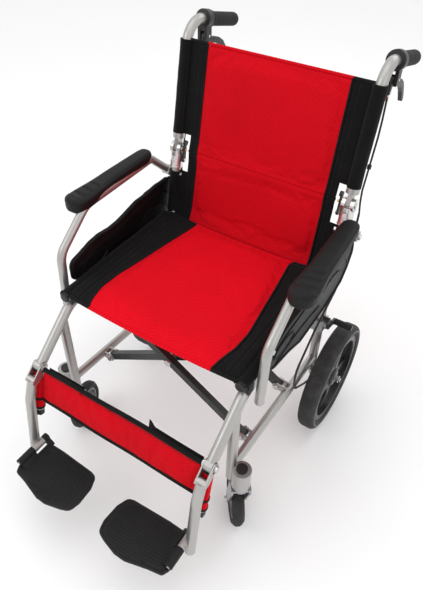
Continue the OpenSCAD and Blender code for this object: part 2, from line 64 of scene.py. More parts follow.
# Driving dimensions
DEPTH_OFFSET = 141.755          # the depth axis starts where seat and back meet
FRAME_X = 215.0                 # side frames
RAIL_X, RAIL_Z = 213.0, 478     # seat rails
FOLD_Y, FOLD_Z = 76.0, 639.0    # axis on which the back folds
CANE_SLOPE = 0.187              # backward run of the canes for each mm of height
CANE_RISE = 273                 # height of the canes' upper corner above the fold axis
RAKE_SIN, RAKE_COS = math.sin(math.atan(CANE_SLOPE)), math.cos(math.atan(CANE_SLOPE))
CANE_UP = (0, RAKE_SIN, RAKE_COS)
BACK_FRONT = Vector((0, -RAKE_COS, RAKE_SIN))    # out of the back's front face
HANDLE_DROP = math.radians(14.2)                 # push handles, below level


def point(x, y, z):
    """A point in the chair's millimetres, in metres."""
    return Vector((x / 1000.0, (y + DEPTH_OFFSET) / 1000.0, z / 1000.0))


def chair_y(co):
    return co.y * 1000 - DEPTH_OFFSET


def on_cane(x, rise, behind=0.0):
    """A point so far up the raked cane from the fold axis, and behind its centre line."""
    return point(x, FOLD_Y + rise * RAKE_SIN + behind * RAKE_COS,
                 FOLD_Z + rise * RAKE_COS - behind * RAKE_SIN)


def smoothstep(start, end, value):
    """Eases from 0 at start to 1 at end; start may be the larger."""
    t = min(1.0, max(0.0, (value - start) / (end - start)))
    return t * t * (3 - 2 * t)


def bell(value, centre, width):
    return math.exp(-((value - centre) / width) ** 2)


def ripple(*place):
    return noise.noise(Vector(place))


# ---------------------------------------------------------------- materials
SHADER_INPUTS = {
    "color": "Base Color", "rough": "Roughness", "metal": "Metallic", "normal": "Normal",
    "sheen": "Sheen Weight", "sheen_rough": "Sheen Roughness", "sheen_tint": "Sheen Tint",
    "coat": "Coat Weight", "coat_rough": "Coat Roughness", "spec": "Specular IOR Level",
}


class Material:
    """A Principled material whose textures read object coordinates."""

    def __init__(self, name):
        self.material = bpy.data.materials.new(name)
        self.material.use_nodes = True
        self.tree = self.material.node_tree
        self.shader = self.tree.nodes["Principled BSDF"]
        self.position = self.node("ShaderNodeTexCoord").outputs["Object"]

    def node(self, kind, **settings):
        node = self.tree.nodes.new(kind)
        for key, value in settings.items():
            setattr(node, key, value)
        return node

    def feed(self, socket, value):
        """Links an output to a socket, or gives the socket a number or an RGB colour."""
        if isinstance(value, bpy.types.NodeSocket):
            self.tree.links.new(value, socket)
        else:
            socket.default_value = (*value, 1) if isinstance(value, tuple) else value

    def calc(self, operation, *values):
        node = self.node("ShaderNodeMath", operation=operation)
        for socket, value in zip(node.inputs, values):
            self.feed(socket, value)
        return node.outputs[0]

    def split_position(self):
        node = self.node("ShaderNodeSeparateXYZ")
        self.feed(node.inputs[0], self.position)
        return node.outputs

    def noise(self, scale, detail=3.0, rough=0.5, position=None):
        node = self.node("ShaderNodeTexNoise")
        node.inputs["Scale"].default_value = scale
        node.inputs["Detail"].default_value = detail
        node.inputs["Roughness"].default_value = rough
        self.feed(node.inputs["Vector"], position or self.position)
        return node.outputs["Fac"]

    def remap(self, value, out, span=(0.0, 1.0)):
        node = self.node("ShaderNodeMapRange")
        for end, low, high in (("From", *span), ("To", *out)):
            node.inputs[end + " Min"].default_value = low
            node.inputs[end + " Max"].default_value = high
        self.feed(node.inputs["Value"], value)
        return node.outputs["Result"]

    def mix(self, factor, first, second):
        node = self.node("ShaderNodeMix", data_type="RGBA")
        # 6 and 7 are the colour sockets of the mix node, and 2 its colour output
        for i, value in ((0, factor), (6, first), (7, second)):
            self.feed(node.inputs[i], value)
        return node.outputs[2]

    def bump(self, height, strength, distance):
        node = self.node("ShaderNodeBump")
        node.inputs["Strength"].default_value = strength
        node.inputs["Distance"].default_value = distance
        self.feed(node.inputs["Height"], height)
        return node.outputs["Normal"]

    def finish(self, **values):
        for key, value in values.items():
            self.feed(self.shader.inputs[SHADER_INPUTS[key]], value)
        return self.material


def tint(color, factor, lift=0):
    return tuple(c * factor + lift for c in color)


def hole_lattice(mat, axes, pitch):
    """Round holes from three waves at 60 degrees in a plane: 1 at a hole, about 0 between."""
    position = mat.split_position()
    first, second = (position[axis] for axis in axes)
    wave_number = 2 * math.pi / pitch
    total = None
    for angle in (0, 60, 120):
        first_part = math.cos(math.radians(angle)) * wave_number
        second_part = math.sin(math.radians(angle)) * wave_number
        phase = mat.calc("MULTIPLY_ADD", second, second_part,
                         mat.calc("MULTIPLY", first, first_part))
        wave = mat.calc("COSINE", phase)
        total = wave if total is None else mat.calc("ADD", total, wave)
    return mat.remap(total, out=(0.0, 1.0), span=(-1.5, 3.0))


def mesh_cloth(name, axes, color, dark):
    mat = Material(name)
    holes = hole_lattice(mat, axes, pitch=0.0042)
    patches = mat.noise(scale=9.0, detail=2.0)
    fuzz = mat.noise(scale=900.0, detail=2.0)
    tone = mat.mix(mat.remap(patches, out=(0.0, 0.28), span=(0.35, 0.7)), color, dark)
    # the holes are painted darker: painted shade inside the mesh's holes
    shade = mat.mix(mat.remap(holes, out=(0.0, 0.80), span=(0.45, 0.9)), tone, tint(color, 0.30))
    height = mat.calc("ADD", mat.calc("MULTIPLY", holes, -1.0), mat.calc("MULTIPLY", fuzz, 0.35))
    return mat.finish(color=shade, rough=mat.remap(fuzz, out=(0.72, 0.92)), sheen=0.10,
                      sheen_rough=0.45, sheen_tint=tint(color, 1, lift=0.10), spec=0.10,
                      normal=mat.bump(height, strength=0.55, distance=0.0008))


def woven(name, color, light, pitch=0.0016, bump=0.5):
    mat = Material(name)
    position = mat.split_position()
    wave_number = 2 * math.pi / pitch
    in_x, in_y, in_z = (mat.calc("SINE", mat.calc("MULTIPLY", position[i], wave_number))
                        for i in range(3))
    weave = mat.calc("ADD", mat.calc("MULTIPLY", in_x, in_y),
                     mat.calc("ADD", mat.calc("MULTIPLY", in_y, in_z),
                              mat.calc("MULTIPLY", in_x, in_z)))
    weave = mat.remap(weave, out=(0.0, 1.0), span=(-1.5, 1.5))
    patches = mat.noise(scale=22.0)
    lint = mat.noise(scale=1500.0, detail=2.0)
    shade = mat.mix(mat.remap(weave, out=(0.0, 0.5), span=(0.4, 1.0)), color, light)
    shade = mat.mix(mat.remap(patches, out=(0.0, 0.35), span=(0.45, 0.75)), shade, light)
    height = mat.calc("ADD", weave, mat.calc("MULTIPLY", lint, 0.4))
    return mat.finish(color=shade, rough=mat.remap(lint, out=(0.7, 0.95)), sheen=0.05,
                      sheen_rough=0.5, spec=0.14,
                      normal=mat.bump(height, strength=bump, distance=0.0005))


def paint(name, color, metal, rough, flake=0.06):
    mat = Material(name)
    flakes = mat.noise(scale=2600.0, detail=1.0)
    patches = mat.noise(scale=14.0, detail=4.0, rough=0.6)
    wear = mat.noise(scale=60.0, detail=6.0, rough=0.7)
    shade = mat.mix(mat.remap(flakes, out=(0.0, 1.0), span=(0.35, 0.65)),
                    tint(color, 1 - flake), tint(color, 1 + flake))
    shade = mat.mix(mat.remap(wear, out=(0.0, 0.35), span=(0.62, 0.85)), shade, tint(color, 0.72))
    roughness = mat.calc("ADD",
                         mat.remap(patches, out=(rough - 0.05, rough + 0.07), span=(0.3, 0.7)),
                         mat.remap(wear, out=(0.0, 0.12), span=(0.55, 0.85)))
    height = mat.calc("ADD", patches, mat.calc("MULTIPLY", flakes, 0.15))
    return mat.finish(color=shade, metal=metal, rough=roughness, coat=0.25, coat_rough=0.15,
                      normal=mat.bump(height, strength=0.05, distance=0.0004))


def steel(name, color, rough, grain=(40, 900, 900)):
    """Bare metal; grain scales its streaks along each axis."""
    mat = Material(name)
    mapping = mat.node("ShaderNodeMapping")
    mapping.inputs["Scale"].default_value = grain
    mat.feed(mapping.inputs["Vector"], mat.position)
    streaks = mat.noise(scale=3.0, detail=4.0, rough=0.6, position=mapping.outputs[0])
    patches = mat.noise(scale=45.0, detail=5.0, rough=0.65)
    shade = mat.mix(mat.remap(patches, out=(0.0, 0.5), span=(0.5, 0.85)), color, tint(color, 0.62))
    roughness = mat.calc("ADD",
                         mat.remap(streaks, out=(rough - 0.08, rough + 0.1), span=(0.3, 0.7)),
                         mat.remap(patches, out=(0.0, 0.12), span=(0.5, 0.8)))
    return mat.finish(color=shade, metal=1.0, rough=roughness,
                      normal=mat.bump(streaks, strength=0.08, distance=0.0003))


def plastic(name, color, rough, grain, bump, spec=0.45):
    """Moulded plastic; grain is the size of its surface cells."""
    mat = Material(name)
    cells = mat.node("ShaderNodeTexVoronoi", feature="SMOOTH_F1")
    cells.inputs["Scale"].default_value = 1.0 / grain
    mat.feed(cells.inputs["Vector"], mat.position)
    cells = cells.outputs["Distance"]
    patches = mat.noise(scale=16.0, detail=4.0, rough=0.6)
    scuffs = mat.noise(scale=120.0, detail=6.0, rough=0.75)
    shade = mat.mix(mat.remap(patches, out=(0.0, 0.6), span=(0.35, 0.8)),
                    color, tint(color, 1.55, lift=0.004))
    shade = mat.mix(mat.remap(scuffs, out=(0.0, 0.25), span=(0.6, 0.9)),
                    shade, tint(color, 2.2, lift=0.01))
    roughness = mat.calc("ADD", mat.remap(cells, out=(rough - 0.04, rough + 0.08)),
                         mat.remap(scuffs, out=(0.0, 0.16), span=(0.5, 0.9)))
    return mat.finish(color=shade, rough=roughness, spec=spec,
                      normal=mat.bump(cells, strength=bump, distance=0.00025))


def rubber(name, color, rough, dusty=None):
    mat = Material(name)
    fine = mat.noise(scale=420.0, detail=4.0, rough=0.7)
    dust = mat.noise(scale=30.0, detail=6.0, rough=0.7)
    shade = mat.mix(mat.remap(dust, out=(0.0, 0.7), span=(0.42, 0.85)),
                    color, dusty or tint(color, 1.7, lift=0.01))
    return mat.finish(color=shade, rough=mat.remap(fine, out=(rough - 0.1, rough + 0.15)),
                      spec=0.3, normal=mat.bump(fine, strength=0.3, distance=0.0004))


EVEN_GRAIN = (500, 500, 500)
# The same red mesh twice: the flat copy has painted light, brighter as if lit from above, and the
# upright copy has painted shade, darker
RED_FLAT_LIT = mesh_cloth("red_mesh_flat_lit", axes=(0, 1), color=(0.78, 0.0016, 0.012),
                      dark=(0.58, 0.0013, 0.008))
RED_UPRIGHT_SHADED = mesh_cloth("red_mesh_upright_shaded", axes=(0, 2), color=(0.64, 0.0012, 0.009),
                         dark=(0.44, 0.001, 0.006))
BLACK_CLOTH = woven("black_nylon", (0.0026, 0.0026, 0.0028), light=(0.009, 0.009, 0.0095))
BLACK_TAPE = woven("black_binding", (0.004, 0.004, 0.0044), light=(0.014, 0.014, 0.015),
                   pitch=0.0011, bump=0.7)
STITCH = woven("stitch_thread", (0.02, 0.02, 0.021), light=(0.06, 0.06, 0.062),
               pitch=0.0005, bump=0.6)
SILVER = paint("frame_silver", (0.43, 0.42, 0.405), metal=0.85, rough=0.34)
ALUMINIUM = steel("joint_aluminium", (0.70, 0.69, 0.68), rough=0.26, grain=EVEN_GRAIN)
BOLT = steel("bolt_steel", (0.62, 0.62, 0.61), rough=0.24)
ZINC = steel("zinc_steel", (0.40, 0.41, 0.42), rough=0.36)
BRASS = steel("brass_pin", (0.72, 0.52, 0.22), rough=0.24, grain=EVEN_GRAIN)
PANEL = plastic("panel_black", (0.0028, 0.0028, 0.0031), rough=0.46, grain=0.0014, bump=0.2,
                spec=0.2)
PLASTIC = plastic("small_black_plastic", (0.009, 0.009, 0.0095), rough=0.4, grain=0.0009,
                  bump=0.18)
FOOT = plastic("footplate_black", (0.008, 0.008, 0.0086), rough=0.52, grain=0.0012, bump=0.3,
               spec=0.25)
PAD = plastic("pad_skin", (0.0048, 0.0050, 0.0052), rough=0.5, grain=0.0017, bump=0.4, spec=0.22)
LEVER = plastic("lever_black", (0.014, 0.014, 0.0145), rough=0.36, grain=0.001, bump=0.15)
GRIP = rubber("grip_rubber", (0.012, 0.012, 0.0125), rough=0.6)
TYRE = rubber("rear_tyre", (0.026, 0.026, 0.027), rough=0.72, dusty=(0.085, 0.082, 0.08))
CASTER = rubber("caster_tyre", (0.022, 0.022, 0.023), rough=0.7, dusty=(0.07, 0.068, 0.066))
RIM = plastic("rim_black", (0.012, 0.012, 0.0125), rough=0.32, grain=0.002, bump=0.08, spec=0.5)
RIM_GREY = plastic("caster_rim", (0.16, 0.165, 0.17), rough=0.4, grain=0.0015, bump=0.12)
HOUSING = paint("brake_housing", (0.06, 0.06, 0.063), metal=0.3, rough=0.4, flake=0.2)
BRACE = paint("brace_black", (0.010, 0.010, 0.0105), metal=0.0, rough=0.5, flake=0.12)
CABLE = plastic("cable_black", (0.007, 0.007, 0.0075), rough=0.3, grain=0.0006, bump=0.05)


# ---------------------------------------------------------------- objects and modifiers
def make_object(verts, faces, *materials, name="part", slots=None):
    mesh = bpy.data.meshes.new(name)
    mesh.from_pydata([tuple(v) for v in verts], [], faces)
    mesh.validate()
    for material in materials:
        mesh.materials.append(material)
    if slots:
        mesh.polygons.foreach_set("material_index", slots)
    mesh.shade_smooth()
    obj = bpy.data.objects.new(name, mesh)
    bpy.context.scene.collection.objects.link(obj)
    return obj


def apply_modifiers(obj):
    depsgraph = bpy.context.evaluated_depsgraph_get()
    mesh = bpy.data.meshes.new_from_object(obj.evaluated_get(depsgraph), depsgraph=depsgraph)
    obj.modifiers.clear()
    obj.data = mesh


def edit_mesh(obj, change):
    mesh = bmesh.new()
    mesh.from_mesh(obj.data)
    change(mesh)
    mesh.to_mesh(obj.data)
    mesh.free()
    return obj


def face_outward(obj):
    return edit_mesh(obj, lambda mesh: bmesh.ops.recalc_face_normals(mesh, faces=mesh.faces))


def autosmooth(obj, degrees):
    """Shades smooth, but keeps edges sharper than the angle."""
    def change(mesh):
        for edge in mesh.edges:
            if len(edge.link_faces) == 2:
                edge.smooth = edge.calc_face_angle(0) < math.radians(degrees)
        for face in mesh.faces:
            face.smooth = True
    return edit_mesh(obj, change)


def join(name, parts):
    """Joins several meshes into one object, keeping their materials."""
    verts, faces, materials, slots = [], [], [], []
    for part in parts:
        base = len(verts)
        verts += [tuple(v.co) for v in part.data.vertices]
        for material in part.data.materials:
            if material not in materials:
                materials.append(material)
        part_slots = [materials.index(material) for material in part.data.materials]
        for polygon in part.data.polygons:
            faces.append([base + i for i in polygon.vertices])
            slots.append(part_slots[polygon.material_index])
    mesh = bpy.data.meshes.new(name)
    mesh.from_pydata(verts, [], faces)
    for material in materials:
        mesh.materials.append(material)
    mesh.polygons.foreach_set("material_index", slots)
    joined = bpy.data.objects.new(name, mesh)
    bpy.context.scene.collection.objects.link(joined)
    for part in parts:
        bpy.data.objects.remove(part)
    return autosmooth(joined, 38)


def subdivide(obj):
    obj.modifiers.new("subdivision", "SUBSURF").levels = 1
    apply_modifiers(obj)
    obj.data.shade_smooth()


def displace(obj, offset):
    """Moves each vertex by offset(co, normal), all worked out before any moves."""
    mesh = obj.data
    mesh.update()
    offsets = [offset(v.co.copy(), v.normal.copy()) for v in mesh.vertices]
    for vertex, move in zip(mesh.vertices, offsets):
        vertex.co = vertex.co + move
    mesh.update()


def attach(obj, body, replaces=None):
    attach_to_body(obj, body)
    if replaces:
        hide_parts(replaces)


def attach_folding(objs, body):
    """Cloth attached to one body, each piece with its own copy of its mesh."""
    for obj in objs:
        attach(obj, body)
        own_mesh(obj)


# ---------------------------------------------------------------- lofted shapes
def ring_faces(count, size, base=0, ends="capped"):
    """Quads between rings of vertices; the ends are "capped", "joined" or "open"."""
    rings = [list(range(base + i * size, base + (i + 1) * size)) for i in range(count)]
    following = rings[1:] + (rings[:1] if ends == "joined" else [])
    faces = [[a[k], a[(k + 1) % size], b[(k + 1) % size], b[k]]
             for a, b in zip(rings, following) for k in range(size)]
    if ends == "capped":
        faces += [rings[0][::-1], rings[-1]]
    return faces


def loft(rings, *materials, name="part", ends="capped", flip=False, slots=None):
    faces = ring_faces(len(rings), len(rings[0]), ends=ends)
    if flip:
        faces = [face[::-1] for face in faces]
    return make_object([v for ring in rings for v in ring], faces, *materials,
                       name=name, slots=slots)


def rounded(points, radius, step):
    """Points along a 3-D polyline with its inner corners rounded."""
    points = [Vector(p) for p in points]
    out = [points[0]]
    for before, corner, after in zip(points, points[1:], points[2:]):
        arriving, leaving = (corner - before).normalized(), (after - corner).normalized()
        turn = arriving.angle(leaving, 0.0)
        count = max(3, int(radius * turn / step) + 1)
        start = corner - arriving * (radius * math.tan(turn / 2))
        inward = (leaving - arriving * arriving.dot(leaving)).normalized()
        centre = start + inward * radius
        spoke = start - centre
        axis = arriving.cross(leaving).normalized()
        out += [centre + Matrix.Rotation(turn * k / count, 3, axis) @ spoke
                for k in range(count + 1)]
    return out + [points[-1]]


def frames_along(path, up=None):
    """Normal and side direction at each point, without twist, or with the side held to up."""
    last = len(path) - 1
    tangents = [(path[min(i + 1, last)] - path[max(i - 1, 0)]).normalized()
                for i in range(len(path))]
    normal = tangents[0].orthogonal().normalized()
    frames = []
    for i, tangent in enumerate(tangents):
        if up is not None:
            side = (up - tangent * up.dot(tangent)).normalized()
            normal = side.cross(tangent).normalized()
        else:
            if i:
                normal = tangents[i - 1].rotation_difference(tangent) @ normal
            normal = (normal - tangent * normal.dot(tangent)).normalized()
            side = tangent.cross(normal)
        frames.append((normal, side))
    return frames


def sweep(path, section, material, name="part", up=None, ends="capped"):
    """Sweeps a section along points in metres: a loop of offsets, or a function of the index."""
    rings = []
    for i, (place, (normal, side)) in enumerate(zip(path, frames_along(path, up))):
        loop = section(i) if callable(section) else section
        rings.append([place + normal * a + side * b for a, b in loop])
    return loft(rings, material, name=name, ends=ends)


def bead(path, section, material):
    """A sweep round a closed path, overlapping itself by one step."""
    return sweep(path + path[:2], section, material, ends="open")


def circle(radius, sides, height=None):
    """A circle, or an ellipse with its own half height."""
    height = height or radius
    turns = [2 * math.pi * k / sides for k in range(sides)]
    return [(radius * math.cos(t), height * math.sin(t)) for t in turns]


def cord(points, radius, material, sides=10, bend=None, step=5.0, name="part"):
    """A round cord with domed ends through points in mm; bend is the radius of its corners."""
    path = rounded(points, bend, step) if bend else [Vector(p) for p in points]
    path = [point(*p) for p in path]
    radius = radius / 1000
    outward_start = (path[0] - path[1]).normalized()
    outward_end = (path[-1] - path[-2]).normalized()
    dome = (1.35, 0.95, 0.5)    # angles of the dome's rings above its base
    head = [path[0] + outward_start * radius * math.sin(t) for t in dome]
    tail = [path[-1] + outward_end * radius * math.sin(t) for t in dome[::-1]]
    taper = [math.cos(t) for t in dome]
    scales = taper + [1.0] * len(path) + taper[::-1]
    return sweep(head + path + tail, lambda i: circle(radius * scales[i], sides), material,
                 name=name)


def revolve(profile, origin, axis, material, sides, name="part"):
    """Turns a closed loop of (radius, along) in mm round an axis through origin in metres."""
    axis = Vector(axis).normalized()
    first = axis.orthogonal().normalized()
    second = axis.cross(first)
    rings = []
    for i in range(sides):
        turn = 2 * math.pi * i / sides
        out = first * math.cos(turn) + second * math.sin(turn)
        rings.append([Vector(origin) + out * (r / 1000) + axis * (z / 1000) for r, z in profile])
    return loft(rings, material, name=name, ends="joined")


def barrel(radius, length, cut, bore=0.2):
    """Profile of a cylinder whose ends are chamfered by cut = (radial, axial)."""
    radial, axial = cut
    return [(bore, 0), (radius - radial, 0), (radius, axial), (radius, length - axial),
            (radius - radial, length), (bore, length)]


def smooth_loop(corners, radii, segments=4):
    """Rounds the corners of a closed 2-D loop, by one radius or by one for each."""
    if not isinstance(radii, list):
        radii = [radii] * len(corners)
    out = []
    for i, radius in enumerate(radii):
        before, corner, after = (Vector(corners[k % len(corners)]) for k in (i - 1, i, i + 1))
        arriving, leaving = (corner - before).normalized(), (after - corner).normalized()
        turn = arriving.angle(leaving, 0)
        if turn < 0.02:
            out.append((corner.x, corner.y))
            continue
        reach = min(radius * math.tan(turn / 2), (corner - before).length * 0.48,
                    (after - corner).length * 0.48)
        start, end = corner - arriving * reach, corner + leaving * reach
        for k in range(segments + 1):
            t = k / segments
            p = start * (1 - t) ** 2 + corner * 2 * t * (1 - t) + end * t * t
            out.append((p.x, p.y))
    return out


def slab(loop, low, high, place, material, bevel, segments=3):
    """A flat moulded piece with rounded edges; place(a, b, depth) gives its points."""
    count = len(loop)
    verts = [place(a, b, low) for a, b in loop] + [place(a, b, high) for a, b in loop]
    faces = [list(range(count))[::-1], list(range(count, 2 * count))]
    faces += [[i, (i + 1) % count, count + (i + 1) % count, count + i] for i in range(count)]
    obj = face_outward(make_object(verts, faces, material))
    modifier = obj.modifiers.new("bevel", "BEVEL")
    modifier.width = bevel / 1000
    modifier.segments = segments
    modifier.limit_method = "ANGLE"
    modifier.angle_limit = math.radians(50)
    apply_modifiers(obj)
    return obj


# ---------------------------------------------------------------- sewn shapes
STITCH_LENGTH, STITCH_GAP, STITCH_RADIUS = 0.0042, 0.002, 0.00045
# Share of the stitch's length, share of its radius
STITCH_SHAPE = [(0.0, 0.15), (0.12, 0.8), (0.5, 1.0), (0.88, 0.8), (1.0, 0.15)]
EDGE_TAPE = circle(0.0034, 10)


def stitches(path, outward):
    """A row of thread stitches along a path, each a small domed bar."""
    travelled = [0.0]
    for a, b in zip(path, path[1:]):
        travelled.append(travelled[-1] + (b - a).length)

    def at(distance):
        i = int(np.searchsorted(travelled, distance)) - 1
        share = (distance - travelled[i]) / (travelled[i + 1] - travelled[i])
        return path[i].lerp(path[i + 1], share)

    verts, faces = [], []
    distance = STITCH_GAP
    while distance + STITCH_LENGTH < travelled[-1]:
        start, end = at(distance), at(distance + STITCH_LENGTH)
        tangent = (end - start).normalized()
        normal = (outward - tangent * outward.dot(tangent)).normalized()
        side = tangent.cross(normal)
        faces += ring_faces(len(STITCH_SHAPE), 6, base=len(verts))
        for share, scale in STITCH_SHAPE:
            centre = start.lerp(end, share)
            verts += [centre + side * (a * scale) + normal * (b * scale)
                      for a, b in circle(STITCH_RADIUS, 6)]
        distance += STITCH_LENGTH + STITCH_GAP
    return make_object(verts, faces, STITCH)


def cushion(patch, counts, thick, material, edge, name="part"):
    """A closed crowned panel round a patch, its thickness rounded off within edge of the rim.

    patch(across, along) gives the point and normal of its middle surface, its width and its
    length; thick is the half thickness. Everything is in metres.
    """
    columns, rows = counts
    verts, faces = [], []
    top, bottom = {}, {}
    for i in range(columns + 1):
        for j in range(rows + 1):
            across, along = i / columns, j / rows
            place, normal, width, length = patch(across, along)
            inset = min(min(across, 1 - across) * width, min(along, 1 - along) * length)
            crown = 1.0 if inset >= edge else math.sqrt(1 - (1 - inset / edge) ** 2)
            top[i, j] = bottom[i, j] = len(verts)
            if i in (0, columns) or j in (0, rows):
                verts.append(place)
            else:
                bottom[i, j] += 1
                verts += [place + normal * (thick * crown), place - normal * (thick * crown)]
    for i in range(columns):
        for j in range(rows):
            faces.append([top[i, j], top[i + 1, j], top[i + 1, j + 1], top[i, j + 1]])
            faces.append([bottom[i, j], bottom[i, j + 1], bottom[i + 1, j + 1], bottom[i + 1, j]])
    return make_object(verts, faces, material, name=name)


DRAPE_VOXEL = 0.0045
DRAPE_LIMIT = 0.006    # furthest a vertex may move
DRAPE_FRAMES = 20
CLOTH = {
    "quality": 6, "mass": 0.25, "tension_stiffness": 12, "compression_stiffness": 12,
    "shear_stiffness": 4, "bending_stiffness": 0.4, "use_pressure": True,
    "vertex_group_mass": "pin", "shrink_min": -0.02,
}


def drape(obj, pressure, pinned):
    """Puffs a closed panel with a cloth simulation; pinned(co) is how firmly a point holds."""
    remesh = obj.modifiers.new("remesh", "REMESH")
    remesh.mode, remesh.voxel_size, remesh.use_smooth_shade = "VOXEL", DRAPE_VOXEL, True
    apply_modifiers(obj)
    rest = np.array([v.co[:] for v in obj.data.vertices])
    group = obj.vertex_groups.new(name="pin")
    for i, co in enumerate(rest):
        weight = pinned(Vector(co))
        if weight > 0:
            group.add([i], weight, "REPLACE")
    cloth = obj.modifiers.new("cloth", "CLOTH")
    for key, value in CLOTH.items():
        setattr(cloth.settings, key, value)
    cloth.settings.uniform_pressure_force = pressure
    cloth.settings.effector_weights.gravity = 0.0
    cloth.collision_settings.use_collision = False
    cloth.point_cache.frame_start, cloth.point_cache.frame_end = 1, DRAPE_FRAMES
    for i in range(1, DRAPE_FRAMES + 1):
        bpy.context.scene.frame_set(i)
    puffed = obj.evaluated_get(bpy.context.evaluated_depsgraph_get()).data
    moved = np.empty(len(puffed.vertices) * 3)
    puffed.vertices.foreach_get("co", moved)
    moved = moved.reshape(-1, 3)
    obj.modifiers.clear()
    obj.vertex_groups.clear()
    # a simulation that failed leaves the panel at rest
    if np.isfinite(moved).all():
        move = moved - rest
        length = np.linalg.norm(move, axis=1, keepdims=True)
        move *= np.minimum(1.0, DRAPE_LIMIT / np.maximum(length, 1e-9))
        obj.data.vertices.foreach_set("co", (rest + move).reshape(-1))
    obj.data.update()
    bpy.context.scene.frame_set(1)


def tube_sleeve(path, inner, outer, material, seed):
    """A slightly loose cloth sleeve round a tube, with turned hems at both ends."""
    frames = frames_along(path)
    turns = [2 * math.pi * k / 28 for k in range(28)]

    def ring(i, radius):
        normal, side = frames[i]
        return [path[i] + normal * (radius(t) / 1000 * math.cos(t))
                + side * (radius(t) / 1000 * math.sin(t)) for t in turns]

    length = sum((b - a).length for a, b in zip(path, path[1:]))
    travelled = 0.0
    rings = []
    for i in range(len(path)):
        if i:
            travelled += (path[i] - path[i - 1]).length
        hem = 0.5 * smoothstep(9, 6, min(travelled, length - travelled) * 1000)

        def radius(t):
            loose = ripple(math.cos(t) * 1.3, math.sin(t) * 1.3, travelled * 38 + seed)
            return outer + 0.5 * loose + hem
        rings.append(ring(i, radius))
    rings += [ring(i, lambda t: inner) for i in (len(path) - 1, 0)]
    return loft(rings, material, ends="joined")


# ---------------------------------------------------------------- seat
SEAT_FRONT, SEAT_REAR = -339.0, 27.0
# Half width of the red mesh at depths y: it narrows towards the back
SEAT_WIDTH_Y = [-342, -330, -277, -224, -148, -80, 0, 24]
SEAT_HALF_WIDTH = [147, 152, 163, 163, 152, 143, 131, 128]
SLEEVE_ARC = (math.radians(-2), math.radians(182))    # rail sleeves are open below


def seat_height(x, y):
    """Middle surface: taut at the rails, slack between, turned down at the front edge."""
    slack = 1 - (x / 196.0) ** 2
    z = 487.0 - 13.0 * max(0.0, slack) ** 0.9 * (0.65 + 0.35 * smoothstep(-345, -180, y))
    z += 4.0 * bell(y, -300, 45.0)
    z -= 7.0 * max(0.0, (-318 - y) / 24.0) ** 2
    return z


def seat_half(y):
    return float(np.interp(y, SEAT_WIDTH_Y, SEAT_HALF_WIDTH))


def seat_patch(right, left, front, rear):
    """Part of the seat between two edges, given as functions of y."""
    def patch(across, along):
        y = front + (rear - front) * along
        x = right(y) + (left(y) - right(y)) * across
        slope_x = (seat_height(x + 1, y) - seat_height(x - 1, y)) / 2
        slope_y = (seat_height(x, y + 1) - seat_height(x, y - 1)) / 2
        normal = Vector((-slope_x, -slope_y, 1.0)).normalized()
        return (point(x, y, seat_height(x, y)), normal, abs(left(y) - right(y)) / 1000,
                abs(rear - front) / 1000)
    return patch


def seat_pin(co):
    return smoothstep(0.016, 0.004, min(seat_half(chair_y(co)) / 1000 + 0.004 - abs(co.x),
                                        co.y - (DEPTH_OFFSET + SEAT_FRONT) / 1000,
                                        (DEPTH_OFFSET + SEAT_REAR) / 1000 - co.y))


def seat_wrinkle(co, normal):
    x, y = co.x * 1000, chair_y(co)
    if normal.z < 0.2:
        return Vector((0, 0, 0))
    wave = 1.6 * ripple(x / 85.0, y / 60.0, 3.1)
    wave += 0.9 * ripple(x / 30.0 + y / 55.0, y / 70.0, 7.7)
    fade = (smoothstep(0, 25, seat_half(y) + 4 - abs(x)) * smoothstep(0, 18, y - SEAT_FRONT)
            * smoothstep(0, 14, SEAT_REAR - y))
    return normal * (wave * fade / 1000)


def seat_panel():
    patch = seat_patch(lambda y: -seat_half(y) - 4, lambda y: seat_half(y) + 4,
                       SEAT_FRONT, SEAT_REAR)
    obj = cushion(patch, (60, 70), thick=0.0042, material=RED_FLAT_LIT, edge=0.008,
                  name="seat_red_panel")
    drape(obj, pressure=3.0, pinned=seat_pin)
    subdivide(obj)
    displace(obj, seat_wrinkle)
    return obj


def seat_line(sign, x, lift, depths, gap=0):
    """Points along the seat at x, or where x is None, gap outside the red mesh's edge."""
    line = [(x or seat_half(y) + gap, y) for y in depths]
    return [(sign * x, y, seat_height(x, y) + lift) for x, y in line]


def seat_trim():
    """Black side borders with their welts, seams and stitching, and the front and rear hems."""
    parts = []
    for sign, _ in SIDES:
        edges = (lambda y: sign * (seat_half(y) - 2), lambda y: sign * 205)
        patch = seat_patch(*edges[::sign], SEAT_FRONT + 1, SEAT_REAR - 1)
        parts.append(cushion(patch, (12, 62), thick=0.0023, material=BLACK_CLOTH, edge=0.004))
        # welt along the red mesh and a felled seam beside the rail
        for x, lift, radius, material in ((None, 3.6, 2.3, BLACK_TAPE),
                                          (182, 2.2, 1.1, BLACK_CLOTH)):
            line = seat_line(sign, x, lift, range(-336, 22, 12))
            parts.append(cord(line, radius, material))
        for x in (None, 176, 187):
            line = seat_line(sign, x, 2.3, range(-334, 20, 8), gap=6)
            parts.append(stitches([point(*p) for p in line], UP))
    for y, radius in ((SEAT_FRONT + 1.5, 4.0), (SEAT_REAR, 3.0)):
        half = seat_half(y)
        red = [(k * half / 10, y, seat_height(k * half / 10, y)) for k in range(-10, 11)]
        parts.append(cord(red, radius, RED_FLAT_LIT))
        full = [(x, y, seat_height(x, y)) for x in range(-203, 204, 14)]
        for sign, _ in SIDES:
            black = [p for p in full if p[0] * sign >= half - 8]
            parts.append(cord(black, radius, BLACK_TAPE))
    return join("seat_black_borders", parts)


